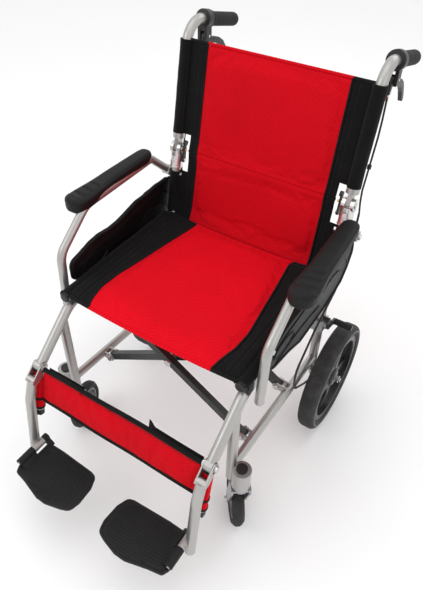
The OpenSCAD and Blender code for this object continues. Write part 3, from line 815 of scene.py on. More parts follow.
def rail_sleeve(sign, side, body):
    """The seat's sleeve over one rail: a C-shaped shell, a rolled front end and stitching."""
    x = sign * RAIL_X
    path = [point(x, y, RAIL_Z) for y in np.linspace(-338, 20, 44)]
    start, end = SLEEVE_ARC
    turns = [start + (end - start) * k / 22 for k in range(23)]
    seam = 90 + sign * 60    # degrees; a thicker lump on the outboard shoulder

    def section(i):
        outer = 13.6 + 0.35 * ripple(chair_y(path[i]) / 22.0, x / 50.0, 1.3)
        radii = [(outer + 1.1 * bell(math.degrees(t), seam, 14.0), t) for t in turns]
        radii += [(11.15, t) for t in turns[::-1]]
        return [(r / 1000 * math.cos(t), r / 1000 * math.sin(t)) for r, t in radii]

    roll = [(x + 14.2 * math.cos(t), -338, RAIL_Z + 14.2 * math.sin(t))
            for t in np.linspace(start, end, 18)]
    thread = math.radians(90 + sign * 38)
    thread = [point(x + 14.4 * math.cos(thread), y, RAIL_Z + 14.4 * math.sin(thread))
              for y in range(-334, 17, 8)]
    obj = join("seat_sleeve_" + side, [
        sweep(path, section, BLACK_CLOTH, up=UP),
        cord(roll, 1.8, BLACK_TAPE, sides=8),
        stitches(thread, UP)])
    attach(obj, body)


def seat():
    red = seat_panel()
    trim = seat_trim()
    for (sign, side), body in zip(SIDES, ("seat", "brace_a")):
        rail_sleeve(sign, side, body)
    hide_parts("seat_sling")
    attach_folding((red, trim), "seat")


seat()

# ---------------------------------------------------------------- back
BACK_HALF = 161.0    # half width of the red mesh
# The back's two panels. The border strips are (outer x, lower rise, upper rise, columns,
# rows); near the fold axis they are narrower, beside the joint.
BACK_PANELS = [
    {"half": "upper", "body": "back_left", "rises": (-2.5, 238.0),
     "strips": [(206, 36, 237, 9, 36), (184, 0, 40, 6, 8)]},
    {"half": "lower", "body": "frame_left", "rises": (-173.0, 2.5),
     "strips": [(206, -172, -52, 9, 20), (184, -56, 0, 6, 10)]},
]


def back_hang(x, rise):
    """How far the back hangs behind the canes; nothing on the fold axis."""
    slack = max(0.0, 1 - (x / 196.0) ** 2)
    hang = 9.0 * slack * bell(rise, -30, 190.0) + 1.5
    # the lower edge turns forward to the seat
    hang -= 15.0 * smoothstep(-132, -176, rise) * (0.35 + 0.65 * slack)
    return hang * smoothstep(0, 30, abs(rise))


def back_patch(x0, x1, low, high):
    def patch(across, along):
        x, rise = x0 + (x1 - x0) * across, low + (high - low) * along
        return (on_cane(x, rise, back_hang(x, rise)), BACK_FRONT, abs(x1 - x0) / 1000,
                abs(high - low) / 1000)
    return patch


def cane_rise(co):
    return (chair_y(co) - FOLD_Y) * RAKE_SIN + (co.z * 1000 - FOLD_Z) * RAKE_COS


def back_panel(name, low, high):
    def pinned(co):
        rise = cane_rise(co)
        return smoothstep(0.018, 0.004, min(BACK_HALF / 1000 + 0.004 - abs(co.x),
                                            (rise - low) / 1000, (high - rise) / 1000))

    def wrinkle(co, normal):
        x, rise = co.x * 1000, cane_rise(co)
        if abs(normal.y) < 0.25:
            return Vector((0, 0, 0))
        wave = 1.8 * ripple(x / 120.0 + rise / 80.0, rise / 160.0, 2.2)
        wave += 0.8 * ripple(x / 45.0, rise / 38.0 + x / 60.0, 9.4)
        # a soft diagonal fold above the fold line
        wave += (1.4 * bell(rise, 18 + 0.25 * x, 9.0) * smoothstep(20, 120, x)
                 * smoothstep(6, 20, abs(rise)))
        fade = (smoothstep(0, 22, BACK_HALF + 4 - abs(x)) * smoothstep(0, 16, rise - low)
                * smoothstep(0, 16, high - rise))
        return BACK_FRONT * (wave * fade / 1000)

    obj = cushion(back_patch(-BACK_HALF - 4, BACK_HALF + 4, low, high),
                  (64, int((high - low) / 5)), thick=0.0042, material=RED_UPRIGHT_SHADED, edge=0.0055,
                  name=name)
    drape(obj, pressure=3.0, pinned=pinned)
    subdivide(obj)
    displace(obj, wrinkle)
    return obj


def cross_cords(outer, count, place, section, edge_material):
    """Cords across the back: red along the mesh, then black on the left and right borders."""
    spans = ((-BACK_HALF, BACK_HALF, RED_UPRIGHT_SHADED), (BACK_HALF - 1, outer, edge_material),
             (-outer, -BACK_HALF + 1, edge_material))
    return [sweep([place(x) for x in np.linspace(start, end, count)], section, material)
            for start, end, material in spans]


def back_trim(name, low, high, strips):
    parts = []
    rises = np.linspace(low + 1, high - 1, 26)
    for sign, _ in SIDES:
        for outer, start, end, *counts in strips:
            xs = (sign * (BACK_HALF - 2), sign * outer)[::sign]
            parts.append(cushion(back_patch(*xs, start, end), counts, thick=0.0021,
                                 material=BLACK_CLOTH, edge=0.004))

        def line(x, forward):
            return [on_cane(sign * x, rise, back_hang(x, rise) - forward) for rise in rises]
        parts.append(sweep(line(BACK_HALF, 3.2), circle(0.0022, 10), BLACK_TAPE))
        parts += [stitches(line(x, 2.3), BACK_FRONT) for x in (BACK_HALF + 6, 178)]
    if high > 100:
        parts += cross_cords(204, 24, lambda x: on_cane(x, high, back_hang(x, high)),
                             EDGE_TAPE, BLACK_TAPE)
    else:
        # soft roll of cloth on the fold line, and the bottom hem
        parts += cross_cords(184, 40, lambda x: on_cane(x, 0.7 * math.sin(x / 31.0), 1.2),
                             circle(0.0034, 12), BLACK_CLOTH)
        parts += cross_cords(203, 24, lambda x: on_cane(x, low, back_hang(x, low)),
                             circle(0.0032, 10), BLACK_TAPE)
    return join(name, parts)


def cane_sleeves(sign, side):
    """Sleeves round the cane above the joint and round the rear upright below it."""
    upper = tube_sleeve([on_cane(sign * FRAME_X, rise) for rise in np.linspace(37, 238, 30)],
                        inner=11.3, outer=14.2, material=BLACK_CLOTH, seed=3 + sign)
    thread = [on_cane(sign * (FRAME_X - 12.5), rise, -8.2) for rise in np.linspace(42, 234, 40)]
    thread = stitches(thread, Vector((-sign * 0.6, -0.8, 0.1)))
    attach(join("back_sleeve_" + side, [upper, thread]), "back_" + side)
    lower = tube_sleeve([on_cane(sign * FRAME_X, rise) for rise in np.linspace(-158, -56, 17)],
                        inner=11.3, outer=13.0, material=BLACK_CLOTH, seed=8 + sign)
    attach(join("back_low_sleeve_" + side, [lower]), "frame_" + side)


def back():
    for panel in BACK_PANELS:
        half, rises = panel["half"], panel["rises"]
        red = back_panel("back_red_" + half, *rises)
        trim = back_trim("back_black_" + half, *rises, panel["strips"])
        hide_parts("back_" + half)
        attach_folding((red, trim), panel["body"])
    for sign, side in SIDES:
        cane_sleeves(sign, side)


back()

# ---------------------------------------------------------------- calf strap
STRAP_Y, STRAP_Z = -452, 316    # middle of the strap
STRAP_SIN, STRAP_COS = math.sin(math.radians(13.9)), math.cos(math.radians(13.9))
STRAP_FRONT = Vector((0, -STRAP_COS, STRAP_SIN))
STRAP_HALF = 204                # half length of the red strap


def on_strap(x, rise, forward=0.0):
    """A point so far up the strap posts from the strap's middle, and in front of it."""
    return point(x, STRAP_Y + rise * STRAP_SIN - forward * STRAP_COS,
                 STRAP_Z + rise * STRAP_COS + forward * STRAP_SIN)


def strap_rise(co):
    return (chair_y(co) - STRAP_Y) * STRAP_SIN + (co.z * 1000 - STRAP_Z) * STRAP_COS


def strap_patch(x0, x1, low, high):
    def patch(across, along):
        x, rise = x0 + (x1 - x0) * across, low + (high - low) * along
        slack = max(0.0, 1 - (x / 190.0) ** 2)
        rise = (rise - 5 * slack * (0.4 + 0.6 * (1 - along))
                + 1.2 * math.sin(x / 37.0) * slack)
        place = on_strap(x, rise, -4.0 * slack + 1.0)
        return place, STRAP_FRONT, abs(x1 - x0) / 1000, abs(high - low) / 1000
    return patch


def strap_pin(co):
    return max(smoothstep(0.014, 0.003, 0.204 - abs(co.x)),
               smoothstep(0.010, 0.003, 0.044 - abs(strap_rise(co) / 1000 + 0.002)))


def strap_wrinkle(co, normal):
    rise = strap_rise(co)
    wave = 1.3 * ripple(co.x * 14, rise / 45.0, 4.2) + 0.7 * ripple(co.x * 42, rise / 30.0, 1.1)
    return STRAP_FRONT * (wave / 1000 * smoothstep(0, 14, STRAP_HALF - abs(co.x * 1000)))


def strap_panel():
    obj = cushion(strap_patch(-STRAP_HALF, STRAP_HALF, -40, 40), (90, 18), thick=0.0045,
                  material=RED_UPRIGHT_SHADED, edge=0.008, name="calf_strap_red")
    drape(obj, pressure=3.5, pinned=strap_pin)
    subdivide(obj)
    displace(obj, strap_wrinkle)
    return obj


def strap_tab(x0, x1, high):
    """A tab behind the strap; the left one curls away backwards at its inner end."""
    patch = strap_patch(x0, x1, 4, high)

    def behind(across, along):
        place, *rest = patch(across, along)
        curl = 0.010 * smoothstep(0.18, 0.0, across) if x0 > 0 else 0
        return place - STRAP_FRONT * (0.0068 + curl), *rest
    return cushion(behind, (24, 8), thick=0.0017, material=BLACK_CLOTH, edge=0.004)


def strap_trim():
    parts = []
    patch = strap_patch(-200, 200, -41, 41)
    for edge, seam in ((0.0, 0.075), (1.0, 0.925)):
        binding = [patch(t, edge)[0] for t in np.linspace(0, 1, 44)]
        parts.append(sweep(binding, circle(0.0052, 12, height=0.0042), BLACK_TAPE))
        thread = [patch(t, seam)[0] + STRAP_FRONT * 0.0052 for t in np.linspace(0.04, 0.96, 60)]
        parts.append(stitches(thread, STRAP_FRONT))
    # hook-and-loop tabs, standing above the strap's upper edge
    parts += [strap_tab(62, 198, high=50), strap_tab(-192, -96, high=47)]
    return join("calf_strap_trim", parts)


def strap_sleeve(sign, side):
    """Red sleeve round the strap's post, with three black bands."""
    def sleeve(rises, outer, material, seed):
        path = [on_strap(sign * FRAME_X, rise) for rise in rises]
        return tube_sleeve(path, inner=8.7, outer=outer, material=material, seed=seed)
    parts = [sleeve(np.linspace(-66, 35, 22), 10.9, RED_UPRIGHT_SHADED, seed=20 + sign)]
    for rise in (-66, -41, 35):
        band = [rise + offset for offset in (-2.6, -1, 1, 2.6)]
        parts.append(sleeve(band, 11.9, BLACK_TAPE, seed=24 + sign))
    attach(join("calf_sleeve_" + side, parts), "frame_" + side)


def calf_strap():
    red = strap_panel()
    trim = strap_trim()
    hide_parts("calf_strap")
    attach_folding((red, trim), "frame_left")
    for sign, side in SIDES:
        strap_sleeve(sign, side)


calf_strap()

# ---------------------------------------------------------------- arm pads
# y, centre outboard of the frame, half width
PAD_STATIONS = [
    (-247.8, 42, 3), (-246.8, 42, 7), (-244.5, 42, 13.5), (-240, 42, 20), (-233, 42, 24.4),
    (-222, 42, 26.8), (-208, 41.8, 26.6), (-190, 41.2, 25.2), (-165, 40.4, 23),
    (-140, 40, 21.8), (-100, 38.8, 21.4), (-50, 37.2, 20.6), (-10, 36, 19.6), (1, 36, 16.5),
    (6.5, 36, 11), (8, 36, 5),
]
# Depths of the rings, closest together where the grooves are
PAD_DEPTHS = [8, 7, 5.5, 3, 0, -6, *range(-12, -156, -8), *(-156 - 1.5 * i for i in range(48)),
              -230, -233, -236, -239, -241.5, -244, -246, -247.8]
PAD_GROOVES = (-168, -190, -212)
PAD_Z = 633.9
PAD_TILT = math.radians(1.55)


def pad_ring(sign, y, centre, half):
    fullness = min(1.0, half / 17.0)
    top = 21.4 - 0.8 * smoothstep(-110, -160, y) + 1.6 * smoothstep(-218, -226, y)
    top -= (1 - fullness) * 6
    bottom = -6.5 - 2.5 * smoothstep(-150, -210, y) + (1 - fullness) * 7
    ring = []
    for cosine, sine in circle(1, 48):
        x = half * math.copysign(abs(cosine) ** 0.45, cosine)
        z = (top + bottom) / 2 + (top - bottom) / 2 * math.copysign(abs(sine) ** 0.55, sine)
        # a parting line round the side, between the cap and the body of the pad
        x *= 1 - 1.9 / max(half, 8) * bell(z, bottom + 13.5, 1.5)
        if sine > 0:
            z -= 0.9 * (x / half) ** 2
            # a shallow line round the top, inside its edge
            z -= 1.0 * bell(abs(x) / half, 0.80, 0.06) * smoothstep(0.2, 0.5, sine)
        if sine > 0.3:
            for groove in PAD_GROOVES:
                z -= (4.0 * bell(y, groove + 0.10 * x, 2.6)
                      * smoothstep(0.74, 0.55, abs(x) / half))
        ring.append(point(sign * (FRAME_X + centre + x), y * math.cos(PAD_TILT),
                          PAD_Z + y * math.sin(PAD_TILT) + z))
    return ring


def arm_pad(sign, side):
    station_y, centres, halves = zip(*PAD_STATIONS)
    rings = [pad_ring(sign, y, np.interp(y, station_y, centres), np.interp(y, station_y, halves))
             for y in sorted(set(PAD_DEPTHS), reverse=True)]
    obj = face_outward(loft(rings, PAD, name="arm_pad_skin_" + side, flip=sign < 0))
    subdivide(obj)
    attach(obj, "arm_" + side, "arm_pad_" + side)


# ---------------------------------------------------------------- side panels
# Outlines and lines on the panel are (y, z)
PANEL_OUTLINE = [
    (96, 538), (88, 556), (55, 563), (10, 566), (-34, 561), (-66, 561), (-100, 553),
    (-132, 545), (-165, 543), (-203, 547), (-232, 544), (-262, 535), (-288, 529), (-296, 521),
    (-296, 488), (-289, 480), (-262, 466), (-197, 452), (-144, 432), (-20, 436), (60, 452),
    (86, 482), (100, 516),
]
PANEL_CENTRE = (-100, 505)
PANEL_SWEEP_KEYS = [(84, 478), (66, 520), (20, 542), (-40, 544), (-100, 533), (-150, 522),
                    (-200, 524), (-250, 516), (-276, 504)]
PANEL_SCREWS = ((-270, 519), (-66, 549), (50, 548))
SCREW_HEAD = [(0.2, 0), (5.2, 0), (5.2, 1.2), (4.2, 2.6), (2.2, 2.9), (2.0, 1.6), (0.2, 1.6)]


def soft_curve(keys, count=44):
    """A curve near the key points: each coordinate is averaged over nine samples."""
    t = np.linspace(0, len(keys) - 1, count)
    coordinates = [np.interp(t, range(len(keys)), values) for values in zip(*keys)]
    return list(zip(*(np.convolve(np.pad(values, 4, mode="edge"), np.ones(9) / 9, mode="valid")
                      for values in coordinates)))


def panel_lines():
    """Raised lines on both faces: a long sweep, an oval, an arc and a short low arc."""
    return [
        soft_curve(PANEL_SWEEP_KEYS),
        [(-222 + 40 * math.cos(t), 495 + 16 * math.sin(t)) for t in np.linspace(0, 2 * math.pi, 40)],
        [(-10 + 44 * math.cos(t), 497 + 15 * math.sin(t)) for t in np.linspace(0.1, 2.9, 22)],
        [(-250 + 190 * t, 470 + 10 * math.sin(math.pi * t)) for t in np.linspace(0, 1, 20)],
    ]


def side_panel(sign, side):
    def place(y, z, out):
        return point(sign * (FRAME_X + out), y, z)

    outline = smooth_loop(PANEL_OUTLINE, 14)
    parts = [slab(outline, 16.2, 21.6, place, PANEL, bevel=1.4)]
    # bead round the rim, on both faces
    middle_y, middle_z = PANEL_CENTRE
    shrink_y = 0.975
    shrink_z = 1 - (1 - shrink_y) * 1.9
    for out, radius in ((22.2, 2.2), (15.8, 1.7)):
        path = [place(middle_y + (y - middle_y) * shrink_y, middle_z + (z - middle_z) * shrink_z,
                      out) for y, z in outline]
        parts.append(bead(path, circle(radius / 1000, 8), PANEL))
    for out in (22.0, 15.9):
        parts += [sweep([place(y, z, out) for y, z in line], circle(0.0019, 8, height=0.0014),
                        PANEL) for line in panel_lines()]
    # raised steps along the top of the outer face
    for y0, y1, z0, z1 in ((62, -40, 558, 556), (-92, -150, 545, 537)):
        step = [(y0, z0 - 4), (y0 - 8, z0 + 5), (y1 + 8, z1 + 5), (y1, z1 - 6)]
        parts.append(slab(smooth_loop(step, 4, 3), 21.0, 25.4, place, PANEL, bevel=1.2))
    # screws that clamp the panel to the arm
    parts += [revolve(SCREW_HEAD, place(y, z, 22.0), (sign, 0, 0), BOLT, 24)
              for y, z in PANEL_SCREWS]
    attach(join("side_panel_moulding_" + side, parts), "arm_" + side,
           "side_panel_" + side)


# ---------------------------------------------------------------- footplates
# x, y, corner radius
FOOT_OUTLINE = [
    (192, -487, 8), (150, -486, 12), (60, -490, 16), (46, -494, 16), (36, -520, 20),
    (34, -560, 20), (40, -584, 18), (60, -592, 18), (95, -601, 14), (120, -601, 16),
    (168, -588, 14), (199, -582, 8), (206, -568, 8), (205, -528, 4), (193, -526, 4),
    (193, -493, 5),
]
FOOT_CENTRE = (112, -542)
HINGE_X, HINGE_Z = 203, 157
# Sections in (x, z)
UNDER_RIB = [(58, 140.8), (62, 134.5), (150, 134.5), (176, 140.8)]
KNUCKLE_WEB = [(180, 142), (184, 149), (194, 157), (203, 164.5), (206, 156), (200, 146.5)]
RIB_SECTION = ((-1.5, 0), (-0.8, 1.0), (0.8, 1.0), (1.5, 0))    # (y offset, share of height)


def inside(loop, x, y):
    hit = False
    for i, (x1, y1) in enumerate(loop):
        x2, y2 = loop[i - 1]
        if (y1 > y) != (y2 > y) and x < (x2 - x1) * (y - y1) / (y2 - y1) + x1:
            hit = not hit
    return hit


def grip_ribs(border, place):
    """Fine slanted, wavy ribs on the plate's top, clipped to the border."""
    verts, faces = [], []
    for k in range(-8, 24):
        run = []
        for t in np.linspace(0, 1, 60):
            x = 36 + 160 * t
            y = -606 + k * 6.6 + 0.12 * (x - 36) + 3.5 * math.sin((x - 36) / 26.0)
            if inside(border, x, y):
                run.append((x, y))
            elif run:
                break
        if len(run) < 4:
            continue
        faces += ring_faces(len(run), len(RIB_SECTION), base=len(verts))
        for i, (x, y) in enumerate(run):
            height = 1.7 * (0.35 if i in (0, len(run) - 1) else 1.0)
            verts += [place(x, y + offset, 148.9 + share * height)
                      for offset, share in RIB_SECTION]
    return make_object(verts, faces, FOOT)


def footplate(sign, side):
    def place(x, y, z):
        return point(sign * x, y, z)

    def place_upright(x, z, y):
        return point(sign * x, y, z)

    outline = smooth_loop([(x, y) for x, y, _ in FOOT_OUTLINE], [r for _, _, r in FOOT_OUTLINE], 5)
    centre_x, centre_y = FOOT_CENTRE

    def shrunk(scale):
        return [(centre_x + (x - centre_x) * scale, centre_y + (y - centre_y) * scale)
                for x, y in outline]

    parts = [slab(outline, 140.5, 149.2, place, FOOT, bevel=2.6, segments=4)]
    # raised border
    parts.append(bead([place(x, y, 149.0) for x, y in shrunk(0.93)],
                      circle(0.0021, 8, height=0.0013), FOOT))
    parts.append(grip_ribs(shrunk(0.86), place))
    # stiffening ribs below
    parts += [slab(UNDER_RIB, y - 1.5, y + 1.5, place_upright, FOOT, bevel=0.6, segments=2)
              for y in (-505, -530, -555, -578)]
    # knuckles round the hinge, blended into the plate
    web = smooth_loop(KNUCKLE_WEB, 2.5, 3)
    for y0, y1 in ((-567, -524.5), (-494, -480)):
        parts.append(revolve(barrel(9.0, y1 - y0, cut=(1.0, 1.2), bore=4.0),
                             place(HINGE_X, y0, HINGE_Z), (0, 1, 0), FOOT, 32))
        parts.append(slab(web, y0 + 0.8, y1 - 0.8, place_upright, FOOT, bevel=1.0, segments=2))
    # hinge pin
    parts.append(revolve(barrel(4.0, 90, cut=(0.8, 0.8)), place(HINGE_X, -568.5, HINGE_Z),
                         (0, 1, 0), BOLT, 24))
    attach(join("footplate_moulding_" + side, parts), "foot_" + side,
           "footplate_" + side)


# ---------------------------------------------------------------- push handles
# Brake lever outlines, (y, z)
LEVER_BLADE = [
    (184, 869), (190, 868), (197, 859), (206, 853), (226, 850), (243, 844), (260, 833),
    (272, 817), (281, 801), (286, 789), (283, 784), (277, 785), (270, 797), (262, 810),
    (251, 822), (238, 831), (222, 837), (204, 840), (194, 846), (186, 858),
]
LEVER_ARM = [(181, 868), (193, 868), (190, 852), (183, 835), (176, 832), (172, 837), (176, 850)]


def handle_point(sign, along, turn, radius):
    """On the push handle: along it from the cane's corner; turn 0 is outboard, 90 up."""
    lift = radius * math.sin(turn)
    drop_sin, drop_cos = math.sin(HANDLE_DROP), math.cos(HANDLE_DROP)
    return point(sign * (FRAME_X + radius * math.cos(turn)),
                 FOLD_Y + CANE_SLOPE * CANE_RISE + along * drop_cos + lift * drop_sin,
                 FOLD_Z + CANE_RISE - along * drop_sin + lift * drop_cos)


def push_grip(sign, side):
    """Ribbed rubber grip with a flange at its front and a domed rear end."""
    # distance along the handle, radius
    profile = [(78.0, 11.15), (78.0, 17.0), (78.6, 17.5), (82.4, 17.5), (83.2, 16.4)]
    along = 84.0
    while along < 181:
        profile.append((along, 15.0 - (0.75 if (along - 84) % 5.2 < 1.3 else 0.0)))
        along += 1.3
    profile += [(182 + 15 * math.sin(t), 15 * math.cos(t))
                for t in np.linspace(0, math.pi / 2 - 0.05, 9)]
    rings = [[handle_point(sign, along, 2 * math.pi * k / 40, radius) for k in range(40)]
             for along, radius in profile]
    obj = autosmooth(face_outward(loft(rings, GRIP, name="push_grip_ribbed_" + side)), 28)
    attach(obj, "back_" + side, "push_grip_" + side)


def brake_lever(sign, side):
    """Finger blade, cable arm and pivot boss, with a pin and a barrel for the cable end."""
    def place(y, z, out):
        return point(sign * (FRAME_X + out), y, z)

    def turned(profile, offset, y, z, material, sides):
        return revolve(profile, point(sign * FRAME_X + offset, y, z), (1, 0, 0), material, sides)

    parts = [
        slab(smooth_loop(LEVER_BLADE, 5, 3), -4.5, 4.5, place, LEVER, bevel=2.6, segments=4),
        slab(smooth_loop(LEVER_ARM, 3, 3), -3.4, 3.4, place, LEVER, bevel=1.5),
        turned(barrel(7.5, 9.2, cut=(0.9, 0.9), bore=3.0), -4.6, 187, 862, LEVER, 32),
        turned(barrel(3.0, 27, cut=(0.6, 0.6)), -13.5, 187, 862, BOLT, 20),
        turned(barrel(3.9, 10, cut=(0.5, 0.5)), -5, 178.5, 838, BOLT, 20),
    ]
    attach(join("brake_lever_blade_" + side, parts), "hand_brake_" + side,
           "brake_lever_" + side)


# ---------------------------------------------------------------- wheels
def spin_axes(axis):
    """A wheel's axis with the two directions across it."""
    axis = Vector(axis).normalized()
    first = axis.orthogonal().normalized()
    return axis, first, axis.cross(first)


def tyre(centre, axis, material, name, inner, outer, width, blocks, groove, shoulder):
    """Rounded carcass with grooves, slanted towards both sides, between its tread blocks.

    The flat crown starts one shoulder inside each side.
    """
    axis, first, second = spin_axes(axis)
    half = width / 2
    # radius, offset along the axis
    flank = [(inner, -half + 5), (inner + 3, -half + 2), (inner + 8, -half + 0.4),
             (inner + (outer - inner) * 0.5, -half), (outer - 7, -half + 1.5),
             (outer - 3.2, -half + 4.5), (outer - 1.0, -half + 8.5)]
    crown = [(outer, z) for z in (-half + shoulder, -half / 3, 0, half / 3, half - shoulder)]
    profile = flank + crown + [(r, -z) for r, z in flank[::-1]]
    size = len(profile)
    total = blocks * 4
    rings = []
    for i in range(total):
        ring = []
        for j, (radius, z) in enumerate(profile):
            turn = 2 * math.pi * i / total
            if 5 <= j <= size - 6:
                turn += (abs(z) / half) * (2 * math.pi / blocks) * 0.8
                if i % 4 == 0:
                    radius -= groove
            out = first * math.cos(turn) + second * math.sin(turn)
            ring.append(centre + out * (radius / 1000) + axis * (z / 1000))
        rings.append(ring)
    # the second slot holds the flanks
    slots = [1 if j < 5 or j >= size - 6 else 0 for j in range(size)] * total
    return autosmooth(loft(rings, material, material, name=name, ends="joined", slots=slots), 50)


def spoke(centre, axes, start_turn, start, end, width, curve, material):
    """A spoke that widens at both ends, with a hollow along the middle of one face."""
    axis, first, second = axes
    rings = []
    for i in range(17):
        t = i / 16
        radius = start + (end - start) * t
        turn = start_turn + curve * math.sin(math.pi * t)
        wide = width * (0.62 + 1.5 * (t - 0.5) ** 2 * 2.2)
        thick = 5.5 + 3.0 * (1 - t)
        out = first * math.cos(turn) + second * math.sin(turn)
        tangent = axis.cross(out)
        ring = []
        for cosine, sine in circle(1, 16):
            x = wide / 2 * math.copysign(abs(cosine) ** 0.5, cosine)
            z = thick * math.copysign(abs(sine) ** 0.6, sine)
            if sine > 0:
                z -= (2.2 * bell(x, 0, wide * 0.26) * smoothstep(0.06, 0.25, t)
                      * smoothstep(0.96, 0.8, t))
            ring.append(centre + out * (radius / 1000) + tangent * (x / 1000)
                        + axis * (z / 1000))
        rings.append(ring)
    return loft(rings, material)


def spoked_rim(centre, axis, material, name, inner, outer, width, hub, hub_width, bore,
               spoke_width, curve):
    """A moulded wheel: rim channel, hub and five spokes that bow sideways by curve radians."""
    half, hub_half = width / 2, hub_width / 2
    channel = [(inner, -half), (outer, -half), (outer, half), (inner, half),
               (inner + 3.5, half - 5), (inner + 3.5, -half + 5)]
    hub_loop = [(bore, -hub_half), (hub * 0.8, -hub_half), (hub, -hub_half + 4),
                (hub, hub_half - 4), (hub * 0.8, hub_half), (bore, hub_half)]
    parts = [
        revolve(smooth_loop(channel, [2, 1.5, 1.5, 2, 3, 3]), centre, axis, material, 96),
        revolve(smooth_loop(hub_loop, [0.5, 3, 3, 3, 3, 0.5]), centre, axis, material, 48),
    ]
    parts += [spoke(centre, spin_axes(axis), 2 * math.pi * i / 5, hub - 3, inner + 1.5,
                    spoke_width, curve, material) for i in range(5)]
    return join(name, parts)


def rear_wheel(sign, side):
    centre = point(sign * 262, 58, 145)
    axis = (sign, 0, 0)
    body = "rear_wheel_" + side
    obj = tyre(centre, axis, TYRE, "rear_tyre_tread_" + side, inner=119, outer=145, width=44,
               blocks=104, groove=0.9, shoulder=13)
    attach(obj, body, "rear_tyre_" + side)
    obj = spoked_rim(centre, axis, RIM, "rear_wheel_spokes_" + side, inner=104, outer=119.2,
                     width=34, hub=24, hub_width=30, bore=6.15, spoke_width=30,
                     curve=0.10 * sign)
    attach(obj, body, "rear_rim_" + side)
    # thin grey ring round the tyre's outer side: a painted highlight along the tyre's shoulder
    obj = revolve([(131.0, 0), (133.5, 0), (133.2, 0.7), (131.3, 0.7)],
                  centre + Vector((sign * 0.0213, 0, 0)), axis, RIM_GREY, 96,
                  name="tyre_highlight_line_" + side)
    attach(obj, body)


def caster_wheel(sign, side):
    steer = math.radians(38 if sign > 0 else 16)
    trail = 42
    centre = point(sign * 240 - trail * math.sin(steer), -358 + trail * math.cos(steer), 62)
    axis = Vector((math.cos(steer), math.sin(steer), 0)) * sign
    obj = tyre(centre, axis, CASTER, "caster_tyre_tread_" + side, inner=46, outer=62, width=28,
               blocks=44, groove=0.8, shoulder=9)
    attach(obj, "caster_wheel_" + side, "caster_tyre_" + side)
    obj = spoked_rim(centre, axis, RIM_GREY, "caster_wheel_spokes_" + side, inner=39.5,
                     outer=46.1, width=22, hub=12.5, hub_width=27, bore=4.15, spoke_width=13,
                     curve=0.0)
    attach(obj, "caster_wheel_" + side, "caster_rim_" + side)


# ---------------------------------------------------------------- small parts
# Turned profiles, (radius, along)
PLUG = [(0.2, 0), (10.7, 0), (10.9, 0.8), (10.9, 3.0), (9.4, 4.6), (6.0, 5.4), (5.6, 4.6),
        (0.2, 4.6)]
FORK_RIM = [(14.9, -1.4), (16.0, -1.0), (16.0, 1.0), (14.9, 1.4)]
SET_SCREW = [(0.2, 0), (4.2, 0), (4.2, 1.0), (3.4, 2.2), (1.9, 2.4), (1.7, 1.2), (0.2, 1.2)]
LOCK_PIN = [(0.2, 0), (2.6, 0), (3.0, 0.6), (3.0, 3.0), (1.6, 3.6), (1.6, 6.0), (2.8, 6.6),
            (2.8, 9.6), (2.2, 10.2), (0.2, 10.2)]
CABLE_RADIUS = 2.1


def rail_plugs(sign, side):
    for i, (y, direction) in enumerate(((-340, -1), (22, 1))):
        obj = revolve(PLUG, point(sign * RAIL_X, y, RAIL_Z), (0, direction, 0), PLASTIC, 32,
                      name="rail_plug_%s_%d" % (side, i))
        attach(autosmooth(obj, 35), "brace_b" if sign > 0 else "brace_a")


def brake_cable(sign, side):
    x = sign * (FRAME_X + 8.5)
    # upper run: from the lever's arm down beside the cane, with a ferrule and a clip
    run = [(sign * FRAME_X, 178.5, 836), (sign * (FRAME_X + 2), 172, 815),
           (sign * (FRAME_X + 6), 158, 790), (x, 146, 760), (x, 131, 700), (x, 118, 650)]
    ferrule = [(sign * FRAME_X, 178.3, 833), (sign * (FRAME_X + 0.6), 176.2, 822)]
    obj = join("brake_cable_upper_" + side, [
        cord(run, CABLE_RADIUS, CABLE, bend=30),
        cord(ferrule, 3.2, BOLT, sides=14),
        revolve(barrel(4.4, 9, cut=(0.4, 0.6), bore=2.2), point(x, 130.2, 697), CANE_UP,
                PLASTIC, 20)])
    attach(obj, "back_" + side)
    # the free bend past the fold axis stays in place, attached to neither half
    bend = [(x, 118.5, 652), (sign * (FRAME_X + 10.5), 114.8, 628),
            (sign * (FRAME_X + 14.6), 111.4, 601)]
    obj = cord(bend, CABLE_RADIUS, CABLE, bend=12, step=3.0, name="brake_cable_bend_" + side)
    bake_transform(obj)


def back_joint(sign, side):
    """Bright rim of the fork with its set screw, and the brass lock pin."""
    obj = join("joint_trim_" + side, [
        revolve(smooth_loop(FORK_RIM, 0.4, 2), on_cane(sign * FRAME_X, -44), CANE_UP,
                ALUMINIUM, 48),
        revolve(SET_SCREW, on_cane(sign * (FRAME_X + 3), -30, -14.6), BACK_FRONT, BOLT, 20)])
    attach(obj, "frame_" + side)
    obj = revolve(LOCK_PIN, on_cane(sign * (FRAME_X - 15.9), 0.0), (-sign, 0, 0), BRASS, 20,
                  name="brass_pin_" + side)
    attach(autosmooth(obj, 35), "frame_" + side)


def brake_bar_sleeve(sign, side):
    """Ribbed rubber sleeve on the parking brake's bar."""
    profile = [(7.03, 0)]
    for k in range(11):
        start = 0.4 + k * 3.9
        profile += [(7.5, start), (8.1, start + 0.5), (8.1, start + 2.4), (7.5, start + 2.9)]
    profile.append((7.03, 44))
    obj = revolve(profile, point(sign * (FRAME_X + 23.5), 78, 312), (sign, 0, 0), GRIP, 32,
                  name="brake_bar_sleeve_" + side)
    attach(autosmooth(obj, 30), "park_brake_" + side)


for sign, side in SIDES:
    for build in (arm_pad, side_panel, footplate, push_grip, brake_lever, rear_wheel,
                  caster_wheel, rail_plugs, brake_cable, back_joint, brake_bar_sleeve):
        build(sign, side)

